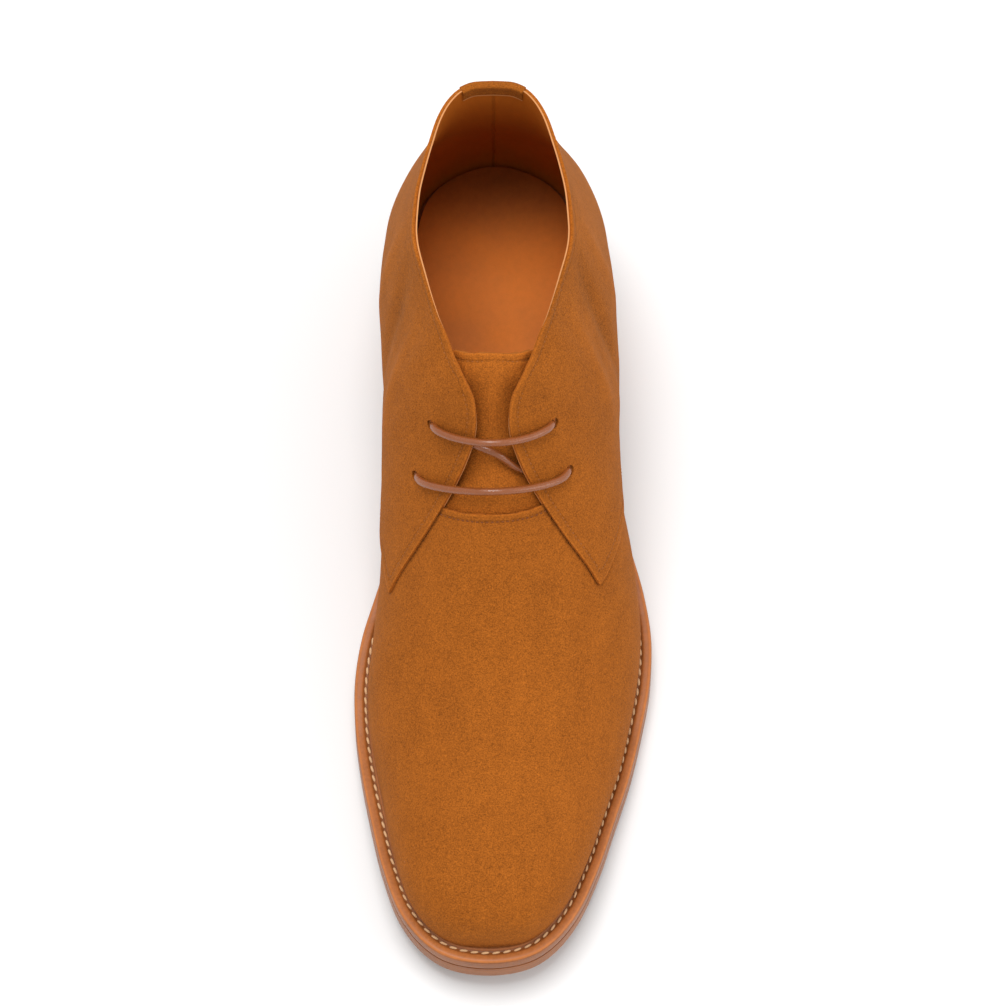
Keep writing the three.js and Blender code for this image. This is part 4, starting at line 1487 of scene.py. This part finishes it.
@dataclass
class Upper:
    """Vamp, quarters, lining, back strip and tongue, cut from one surface, with their stitches."""

    last: Last
    finishes: dict[str, bpy.types.Material]
    spacing: float = 1.7
    steps: int = 78
    ridge_half: float = 10
    ridge_back: float = 0.385
    skin: float = 1.05
    vamp_skin: float = 1.2
    lining_skin: float = 0.5
    tongue_skin: float = 1.6
    strip_skin: float = 0.32
    strip_depth: float = 5.6
    stitch_pitch: float = 1.8
    stitch_in: float = 3.0
    vamp_stitch_in: float = 2.6
    tongue_stitch_in: float = 2.7
    inner_drop: float = 9.5
    corner: float = 8
    throat_station: float = 0.542
    throat_rise: float = 12
    throat_half: float = 26
    throat_floor: float = 62
    tongue_front: float = 0.6
    tongue_floor: float = 40
    hole_depth: float = 9
    foot_lap: float = 0.35
    no_edge: float = 20
    creases: tuple[Crease, ...] = (
        Crease((0.27, 0.93), (0.345, 0.42), 4.0, 1.5, Side.OUTER),
        Crease((0.225, 0.93), (0.25, 0.5), 4.5, -0.9, Side.OUTER),
        Crease((0.315, 0.9), (0.41, 0.52), 4.0, -0.9, Side.OUTER),
        Crease((0.275, 0.93), (0.35, 0.45), 4.0, 1.3, Side.INNER),
        Crease((0.225, 0.92), (0.26, 0.52), 4.5, -0.9, Side.INNER),
        Crease((0.33, 0.88), (0.42, 0.5), 4.0, -0.8, Side.INNER),
    )

    def __post_init__(self) -> None:
        """Shape the surface and lay out the pattern lines."""
        self.shape_form()
        self.draw_quarters()
        self.draw_vamp()

    def shape_form(self) -> None:
        """Loft the surface over the ribs and soften it, most of all along the ridge of the instep."""
        last = self.last
        at, row, side = last.places(self.spacing)
        v = np.linspace(0, 1, self.steps + 1)
        points = last.rib_points(at[:, None], row[:, None], side[:, None], v[None])
        self.form = grid_piece("last_form", points, wrapped=True)
        bm = bmesh.new()
        bm.from_mesh(self.form.data)
        inner = [vert for vert in bm.verts if not vert.is_boundary]
        soften(bm, inner, 8)
        back = last.along(self.ridge_back)
        ridge = [vert for vert in inner if abs(vert.co.x - last.ridge) < self.ridge_half and vert.co.y < back]
        soften(bm, ridge, 70)
        bmesh.ops.recalc_face_normals(bm, faces=bm.faces)
        bm.normal_update()
        if max(bm.verts, key=lambda vert: vert.co.x).normal.x < 0:
            bmesh.ops.reverse_faces(bm, faces=bm.faces)
        bm.normal_update()
        self.tree = BVHTree.FromBMesh(bm)
        bm.to_mesh(self.form.data)
        bm.free()
        self.points, self.normals = coordinates(self.form.data), normals_of(self.form.data)

    def profile(self, rows: Sequence[tuple[float, float]]) -> np.ndarray:
        """Line in profile from stations and shares of the collar's height."""
        station, share = np.asarray(rows, float).T
        return np.column_stack([self.last.along(station), share * self.last.sizes.collar])

    def draw_quarters(self) -> None:
        """Lay out topline, facings and front edge of the quarters."""
        last, s = self.last, self.last.sizes
        fine = np.linspace(0, 1, 160)
        top = self.profile(TOPLINE)
        self.top_at = reader(top, 0)
        self.topline = Line(Plane.PROFILE, top, lambda p: p[:, 2] < self.top_at(p[:, 1]))
        front = self.profile(QUARTER_FRONT)
        front = np.vstack([front[:1], through(front[1:], fine)])
        rising = front[::-1]
        rising = rising[np.r_[True, np.diff(rising[:, 1]) > 1e-6]]
        front_at = Column(rising[:, 1], rising[:, 0])
        self.front = Line(Plane.PROFILE, front, lambda p: p[:, 1] > front_at(p[:, 2]))
        facing = np.array([(half * s.heel_width, last.along(station)) for station, half in FACING_EDGE])
        facing = through(facing, fine)
        half_at = reader(facing, 1)

        def outside(p: np.ndarray) -> np.ndarray:
            """Which points lie beside the facings or behind them."""
            return (np.abs(p[:, 0] - last.ridge) > half_at(p[:, 1])) | (p[:, 1] > facing[0, 1])

        self.facing = Line(Plane.PLAN, facing, outside, middle=last.ridge)

    def draw_vamp(self) -> None:
        """Lay out the edges of the vamp and the top of the tongue."""
        last, s = self.last, self.last.sizes
        back = self.profile(VAMP_BACK)
        back_at = reader(back, 1)
        self.vamp_back = Line(Plane.PROFILE, back, lambda p: p[:, 1] < back_at(p[:, 2]))
        x = last.ridge + self.throat_half * np.linspace(-2, 2, 81)
        throat = np.column_stack([x, self.throat_at(x)])
        self.throat = Line(Plane.PLAN, throat, lambda p: p[:, 1] < self.throat_at(p[:, 0]))
        tongue = np.array([(last.ridge + across * s.heel_width, last.along(st)) for across, st in TONGUE_TOP])
        tongue_at = reader(tongue, 0)
        tongue_line = through(tongue, np.linspace(0, 1, 160))
        self.tongue_top = Line(Plane.PLAN, tongue_line, lambda p: p[:, 1] < tongue_at(p[:, 0]))

    def throat_at(self, x: np.ndarray) -> np.ndarray:
        """Place along the boot of the vamp's edge under the lace."""
        bow = ((x - self.last.ridge) / self.throat_half) ** 2
        return self.last.along(self.throat_station) + self.throat_rise * bow

    def throat_reach(self, points: np.ndarray) -> np.ndarray:
        """Signed distance to the vamp's edge under the lace, positive all down its sides."""
        return np.maximum(self.throat.reach(points), self.throat_floor - points[:, 2])

    def front_reach(self, points: np.ndarray, normals: np.ndarray | None = None) -> np.ndarray:
        """Signed distance to the quarters' front edge, which lies lower on the inner side."""
        inner = points[:, 0] < self.last.ridge
        return self.front.reach(points + np.outer(inner * self.inner_drop, (0, 0, 1)), normals)

    def collar_reach(self, points: np.ndarray, normals: np.ndarray | None = None) -> np.ndarray:
        """Signed distance to the facings and the topline, with the corner between them rounded.

        Args:
            points: Points on the surface.
            normals: Its normals there, to measure along it.

        Returns:
            Distances in millimetres, positive on the quarters.
        """
        facing, top = (line.reach(points, normals) for line in (self.facing, self.topline))
        share = np.clip(1 - np.abs(facing - top) / self.corner, 0, 1)
        return np.minimum(facing, top) - share**2 * self.corner / 4

    def foot(self, points: np.ndarray) -> np.ndarray:
        """Height over the welt, where the upper stops."""
        return points[:, 2] - self.last.welt_top(points[:, 1]) + self.foot_lap

    def sheet(self, name: str, lift: float | np.ndarray) -> bpy.types.Object:
        """Copy of the surface, moved out along its normals.

        Args:
            name: Name of the piece.
            lift: Distance, one for all or one for each point.

        Returns:
            The sheet.
        """
        mesh = self.form.data.copy()
        mesh.name = name
        lift = np.broadcast_to(lift, len(self.points))[:, None]
        set_coordinates(mesh, self.points + self.normals * lift)
        return add_object(name, mesh)

    def above(self, across: float, station: float) -> tuple[Vector, Vector]:
        """Find a place on the surface from above.

        Args:
            across: Share of the heel width from the ridge of the instep.
            station: Share of the length from the heel.

        Returns:
            The place and the normal there.
        """
        last, s = self.last, self.last.sizes
        start = Vector((last.ridge + across * s.heel_width, float(last.along(station)), 2 * s.collar))
        place, normal, _, _ = self.tree.ray_cast(start, Vector((0, 0, -1)))
        return place, normal

    def hole_reach(self, points: np.ndarray, centre: np.ndarray, axis: np.ndarray) -> np.ndarray:
        """Distance of points to the axis of an eyelet, great for those far along it.

        Args:
            points: Points on a sheet.
            centre: Centre of the eyelet.
            axis: Its direction.

        Returns:
            Distances in millimetres.
        """
        offset = points - centre
        depth = offset @ axis
        away = np.linalg.norm(offset - depth[:, None] * axis, axis=1)
        return np.where(np.abs(depth) < self.hole_depth, away, self.hole_depth)

    def punch(self, mesh: bpy.types.Mesh, radius: float) -> None:
        """Cut the round eyelets out of a sheet.

        Args:
            mesh: The sheet.
            radius: Radius of an eyelet.
        """
        axes = [[np.array(part) for part in self.above(*eyelet)] for eyelet in EYELETS]
        refine(mesh, [centre for centre, _ in axes], radius=5.5, cuts=4)
        for centre, axis in axes:
            clip(mesh, lambda points: self.hole_reach(points, centre, axis) - radius)

    def crease_lift(self) -> np.ndarray:
        """Work out how far the creases move the surface.

        Returns:
            Distance outwards for each point.
        """
        last, s = self.last, self.last.sizes
        lift = np.zeros(len(self.points))
        for crease in self.creases:
            ends = np.array([(last.along(st), share * s.collar) for st, share in (crease.start, crease.end)])
            step = ends[1] - ends[0]
            offset = self.points[:, 1:] - ends[0]
            t = (offset @ step) / (step @ step)
            gap = np.linalg.norm(offset - np.clip(t, 0, 1)[:, None] * step, axis=1)
            fade = np.sin(np.pi * np.clip(t * 0.8 + 0.1, 0, 1)) ** 1.5
            on_side = (self.points[:, 0] - last.ridge) * crease.side.value > 0
            lift -= crease.depth * np.exp(-((gap / crease.width) ** 2)) * fade * on_side
        wave = np.sin(self.points @ (0.11, 0.07, 0.05)) * np.sin(self.points @ (-0.05, 0.09, 0.12) + 1)
        return lift + 0.12 * wave * smoothstep(self.points[:, 2], 30, 60)

    def thicken(self, obj: bpy.types.Object, thickness: float, easing: float = 0.3) -> None:
        """Give a sheet its thickness inwards, with an eased rim.

        Args:
            obj: The sheet; its second material goes on the inside and its third on the rim.
            thickness: In millimetres.
            easing: Width of the eased edge.
        """
        modify(obj, "SOLIDIFY", thickness=thickness, offset=-1, material_offset=1, material_offset_rim=2)
        modify(obj, "BEVEL", width=easing, segments=2, limit_method="ANGLE", angle_limit=math.radians(50),
               use_clamp_overlap=True)
        smooth(obj, 45)

    def give_slots(self, obj: bpy.types.Object, *names: str) -> None:
        """Put finishes on a sheet before it is thickened."""
        for name in names:
            obj.data.materials.append(self.finishes[name])

    def sew(self, name: str, obj: bpy.types.Object, values: np.ndarray, level: float, stitch: Stitch,
            keep: Callable[[np.ndarray], np.ndarray] | None = None) -> bpy.types.Object:
        """Row of stitches where a field on a sheet has one value.

        Args:
            name: Name of the row.
            obj: The sheet, before it is thickened.
            values: The field at its points.
            level: The value.
            stitch: The stitch.
            keep: Says which stitches are sewn, by their places.

        Returns:
            The stitches.
        """
        runs = []
        for chain in trace(obj.data, values, level):
            if len(chain) < 8:
                continue
            run = even(chain, self.stitch_pitch)
            if keep is not None:
                chosen = keep(run[0])
                run = tuple(part[chosen] for part in run)
            if len(run[0]):
                runs.append(run)
        return stitch.row(name, runs)

    def quarters(self) -> None:
        """The two quarters, joined behind, with their edge stitching."""
        s = self.last.sizes
        crease = self.crease_lift()
        obj = self.sheet("quarters", s.step + crease)
        # The creases' lift, which the suede's finish reads to paint shade in their troughs and light on their
        # ridges.
        mark(obj.data, "crease", crease)
        for field_of in (self.front_reach, self.collar_reach, self.foot):
            clip(obj.data, field_of)
        tidy_rim(obj.data)
        self.punch(obj.data, s.lace / 2 + 0.5)
        points, normals = coordinates(obj.data), normals_of(obj.data)
        edge = np.minimum(self.front_reach(points, normals), self.collar_reach(points, normals))
        mark(obj.data, "edge", edge)
        stitch = Stitch(length=1.3, thread=0.5, sink=0.12)
        rows = self.sew("quarter_stitches", obj, edge, self.stitch_in, stitch)
        self.give_slots(obj, "suede", "lining", "suede")
        self.thicken(obj, self.skin)
        dress(obj, [], ["upper"])
        dress(rows, [self.finishes["suede_thread"]])

    def vamp(self) -> None:
        """Vamp with its turned edge under the lace."""
        turned = 0.55 * np.exp(-((self.throat.reach(self.points, self.normals) / 1.6) ** 2))
        obj = self.sheet("vamp", turned)
        for field_of in (self.vamp_back.reach, self.throat_reach, self.foot):
            clip(obj.data, field_of)
        tidy_rim(obj.data)
        points, normals = coordinates(obj.data), normals_of(obj.data)
        edge = np.abs(self.throat.reach(points, normals))
        edge = np.where(points[:, 2] > self.throat_floor, edge, self.no_edge)
        mark(obj.data, "edge", edge)
        # Distance past the quarters' edges, which the vamp's finish reads to paint their contact shadow.
        over = np.minimum(self.front_reach(points, normals), self.facing.reach(points, normals))
        mark(obj.data, "lap", -over)
        stitch = Stitch(length=1.3, thread=0.55, sink=0.02)
        rows = self.sew("vamp_stitches", obj, edge, self.vamp_stitch_in, stitch,
                        lambda p: np.abs(p[:, 0] - self.last.ridge) < self.throat_half + 1)
        self.give_slots(obj, "vamp", "lining", "vamp")
        self.thicken(obj, self.vamp_skin, 0.45)
        dress(obj, [])
        dress(rows, [self.finishes["dark_thread"]])

    def lining(self) -> None:
        """Lining of the quarters, seen inside the collar."""
        obj = self.sheet("lining", self.crease_lift() * 0.7 - 0.03)
        clip(obj.data, lambda p: -np.minimum(self.vamp_back.reach(p), self.throat_reach(p)) - 0.1)
        clip(obj.data, lambda p: self.collar_reach(p) + 0.3)
        clip(obj.data, self.foot)
        tidy_rim(obj.data)
        self.punch(obj.data, self.last.sizes.lace / 2 + 0.4)
        self.give_slots(obj, "lining", "lining", "lining_edge")
        self.thicken(obj, self.lining_skin, 0.25)
        dress(obj, [])

    def tongue(self) -> None:
        """Suede tongue with a folded and stitched top edge."""
        last, s = self.last, self.last.sizes
        depth = Column(*zip(*TONGUE_DEPTH))(last.station(self.points[:, 1]))
        fold = 0.5 * (1 - smoothstep(self.tongue_top.reach(self.points, self.normals), 2.0, 2.8))
        obj = self.sheet("suede_tongue", fold - depth)

        def side_reach(p: np.ndarray) -> np.ndarray:
            """Distance to the sides of the tongue."""
            half = np.interp(last.station(p[:, 1]), *zip(*TONGUE_HALF)) * s.heel_width
            return half - np.abs(p[:, 0] - last.ridge)

        widest = TONGUE_HALF[-1][1] * s.heel_width
        cuts = (lambda p: widest - np.abs(p[:, 0] - last.ridge), side_reach,
                lambda p: p[:, 1] - last.along(self.tongue_front), lambda p: p[:, 2] - self.tongue_floor,
                self.tongue_top.reach)
        for field_of in cuts:
            clip(obj.data, field_of)
        tidy_rim(obj.data)
        edge = self.tongue_top.reach(coordinates(obj.data), normals_of(obj.data))
        mark(obj.data, "edge", edge)
        stitch = Stitch(length=1.3, thread=0.5, sink=0.1)
        rows = self.sew("tongue_stitches", obj, edge, self.tongue_stitch_in, stitch)
        self.give_slots(obj, "tongue", "tongue", "raw")
        self.thicken(obj, self.tongue_skin)
        dress(obj, [], ["tongue"])
        dress(rows, [self.finishes["suede_thread"]])

    def strip_grid(self) -> tuple[np.ndarray, np.ndarray]:
        """Lay a grid up the heel, wider towards the collar.

        Returns:
            Its points and the surface's normals there, in rows from side to side.
        """
        up = np.linspace(0, 1, 90)
        rows = []
        for across in np.linspace(-1, 1, 33):
            side = Side.OUTER if across >= 0 else Side.INNER
            row = abs(across) * (1.15 + 0.9 * smoothstep(up, 0.35, 1))
            at = np.interp(row, range(len(RIBS)), self.last.row_ends(side))
            rows.append(self.last.rib_points(at, row, side.value, 0.02 + 0.98 * up))
        grid = np.array(rows)
        obj = grid_piece("strip_form", grid)
        points, normals = coordinates(obj.data), normals_of(obj.data)
        bpy.data.objects.remove(obj)
        if normals[:, 1].mean() < 0:
            normals = -normals
        return points.reshape(grid.shape), normals.reshape(grid.shape)

    def strip_line(self, points: np.ndarray, normals: np.ndarray) -> np.ndarray:
        """One line of the back strip: up the heel, round the collar and down inside.

        Args:
            points: Points of the surface, going up.
            normals: Its normals there.

        Returns:
            Points of the line.
        """
        y, z = points[:, 1], points[:, 2]
        over = z - self.top_at(y) + 0.3
        keep = np.flatnonzero((over < 0) & (z > self.last.welt_top(y) - self.foot_lap))
        k = min(keep[-1], len(points) - 2)
        share = min(1.0, over[k] / (over[k] - over[k + 1]))
        head, out = (part[k] * (1 - share) + part[k + 1] * share for part in (points, normals))
        lift = self.last.sizes.step + 0.04
        outside = np.vstack([points[keep] + normals[keep] * lift, head + out * lift])
        up = np.array([0, 0, 1.0])
        bend = np.linspace(0.35, math.pi - 0.2, 7)[:, None]
        turn = head + out * (0.08 + 1.2 * np.cos(bend)) + up * (0.5 * np.sin(bend) + 0.3)
        inside = head - out * 1.12 - up * np.linspace(0, self.strip_depth, 8)[:, None]
        return np.vstack([through(outside, np.linspace(0, 1, 70)), turn, inside])

    def back_strip(self) -> None:
        """Strip down the back seam, folded over the collar, with a pale edge inside."""
        lines = np.array([self.strip_line(points, normals) for points, normals in zip(*self.strip_grid())])
        obj = grid_piece("back_strip", lines)
        mark(obj.data, "edge", np.full(len(obj.data.vertices), self.no_edge))
        mark(obj.data, "place", np.tile(np.arange(lines.shape[1]), len(lines)))
        self.give_slots(obj, "suede", "suede", "raw", "lining_edge")
        if normals_of(obj.data)[:, 1].mean() < 0:
            obj.data.flip_normals()
        modify(obj, "SOLIDIFY", thickness=self.strip_skin, offset=1, material_offset=1, material_offset_rim=2)
        modify(obj, "BEVEL", width=0.1, segments=2, limit_method="ANGLE", angle_limit=math.radians(50))
        place = obj.data.attributes["place"].data
        for face in obj.data.polygons:
            if min(place[index].value for index in face.vertices) > lines.shape[1] - 2.5:
                face.material_index = 3
        smooth(obj, 45)
        dress(obj, [])

    def lace(self) -> None:
        """Round lace through the four eyelets."""
        route = []
        for across, station, lift in LACE_ROUTE:
            place, normal = self.above(across, station)
            route.append(place + normal * lift)
        path = through(np.array(route), np.linspace(0, 1, 260))
        curve = bpy.data.curves.new("lace", "CURVE")
        curve.dimensions = "3D"
        curve.bevel_depth, curve.bevel_resolution, curve.use_fill_caps = self.last.sizes.lace / 2, 5, True
        spline = curve.splines.new("POLY")
        spline.points.add(len(path) - 1)
        spline.points.foreach_set("co", np.column_stack([path, np.ones(len(path))]).reshape(-1))
        choose(add_object("waxed_lace", curve))
        bpy.ops.object.convert(target="MESH")
        obj = bpy.context.object
        smooth(obj, 60)
        dress(obj, [self.finishes["lace"]], ["lace"])

    def build(self) -> None:
        """Make and dress the whole upper."""
        self.vamp()
        self.quarters()
        self.lining()
        self.tongue()
        self.back_strip()
        self.lace()
        bpy.data.objects.remove(self.form)


@dataclass(frozen=True)
class Studio:
    """White floor, soft overhead light and the camera."""

    elevation: float = 67.5
    distance: float = 3.0
    field_of_view: float = 6.66
    aim: tuple[float, float, float] = (0.0, 0.0079, 0.05)
    sky: float = 0.8
    sun: float = 1.9
    sun_angle: float = 32
    sun_from: tuple[float, float, float] = (-0.1, 0.14, 1.0)
    fill: float = 0.55
    fill_from: tuple[float, float, float] = (0.9, -0.25, 0.5)

    def floor(self) -> None:
        """Pale floor under the boot."""
        deselect()
        bpy.ops.mesh.primitive_plane_add(size=400, location=(0, 0, 0))
        floor = bpy.context.object
        floor.name = "studio_floor"
        shop = NodeShop("studio_floor")
        floor.data.materials.append(shop.finish({"Base Color": (0.82, 0.82, 0.82), "Roughness": 0.9,
                                                 "Specular IOR Level": 0.0}))

    def sun_light(self, name: str, strength: float, start: tuple[float, float, float]) -> None:
        """One large soft light.

        Args:
            name: Name of the light.
            strength: Its power.
            start: Direction it comes from.
        """
        deselect()
        bpy.ops.object.light_add(type="SUN", location=start)
        sun = bpy.context.object
        sun.name, sun.data.energy, sun.data.angle = name, strength, math.radians(self.sun_angle)
        sun.rotation_euler = Vector(start).to_track_quat("Z", "Y").to_euler()

    def lights(self) -> None:
        """Even sky, one large soft light overhead and a weaker one from the outer side."""
        world = bpy.data.worlds.new("studio")
        world.use_nodes = True
        background = world.node_tree.nodes["Background"]
        background.inputs["Color"].default_value = (1, 1, 1, 1)
        background.inputs["Strength"].default_value = self.sky
        bpy.context.scene.world = world
        self.sun_light("overhead_light", self.sun, self.sun_from)
        self.sun_light("side_light", self.fill, self.fill_from)

    def camera(self) -> None:
        """Camera in front of the toe, looking down."""
        rise = math.radians(self.elevation)
        back = Vector((0, -math.cos(rise), math.sin(rise)))
        deselect()
        bpy.ops.object.camera_add(location=Vector(self.aim) + back * self.distance)
        camera = bpy.context.object
        camera.rotation_euler = back.to_track_quat("Z", "Y").to_euler()
        camera.data.sensor_width = 36
        camera.data.lens = 18 / math.tan(math.radians(self.field_of_view / 2))
        camera.data.clip_end = 1000
        bpy.context.scene.camera = camera

    def build(self) -> None:
        """Set up floor, lights and camera."""
        self.camera()
        self.floor()
        self.lights()
        bpy.context.scene.view_settings.view_transform = "Standard"


def finish_set() -> dict[str, bpy.types.Material]:
    """All finishes of the boot.

    Returns:
        The materials, by the place they go.
    """
    return {
        "suede": Suede("suede", painted_crease_shading=True).material(),
        "vamp": Suede("vamp_suede", seam=2.6, lapped=True).material(),
        # Painted light: the tongue's suede is lighter than the rest to offset the shade it lies in under the
        # lace.
        "tongue": Suede("tongue_suede", colour=tint(163, 90, 28), seam=2.7).material(),
        "raw": RawEdge().material(),
        "lining": Lining("lining_leather", seam_x=-3.3).material(),
        "lining_edge": Lining("lining_edge", colour=tint(206, 142, 88)).material(),
        # The insole's base colour is raised to stand in for light inside the boot, and its finish paints
        # shade towards the heel and under the tongue.
        "insole": Lining("insole_leather", colour=tint(238, 134, 50), painted_insole_shade=True).material(),
        "lace": WaxedCord().material(),
        "suede_thread": Thread("suede_thread", tint(150, 86, 32)).material(),
        "dark_thread": Thread("vamp_thread", tint(118, 62, 22)).material(),
        "welt_thread": Thread("welt_thread", tint(214, 172, 128)).material(),
        "welt": WeltTop().material(),
        "outsole": EdgeLeather("sole_leather", tint(148, 90, 48)).material(),
        "stack": EdgeLeather("stack_leather", tint(162, 94, 46), seams=(12.6, 17.2, 21.6)).material(),
        "top_piece": EdgeLeather("top_leather", tint(152, 98, 58)).material(),
        "rubber": Rubber().material(),
    }


def main() -> None:
    """Build the boot and its studio."""
    logging.basicConfig(level=logging.INFO, format="%(name)s %(message)s")
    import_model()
    Studio().build()
    last, finishes = Last(Sizes()), finish_set()
    Sole(last, finishes).build()
    Upper(last, finishes).build()


if __name__ == "__main__":
    main()
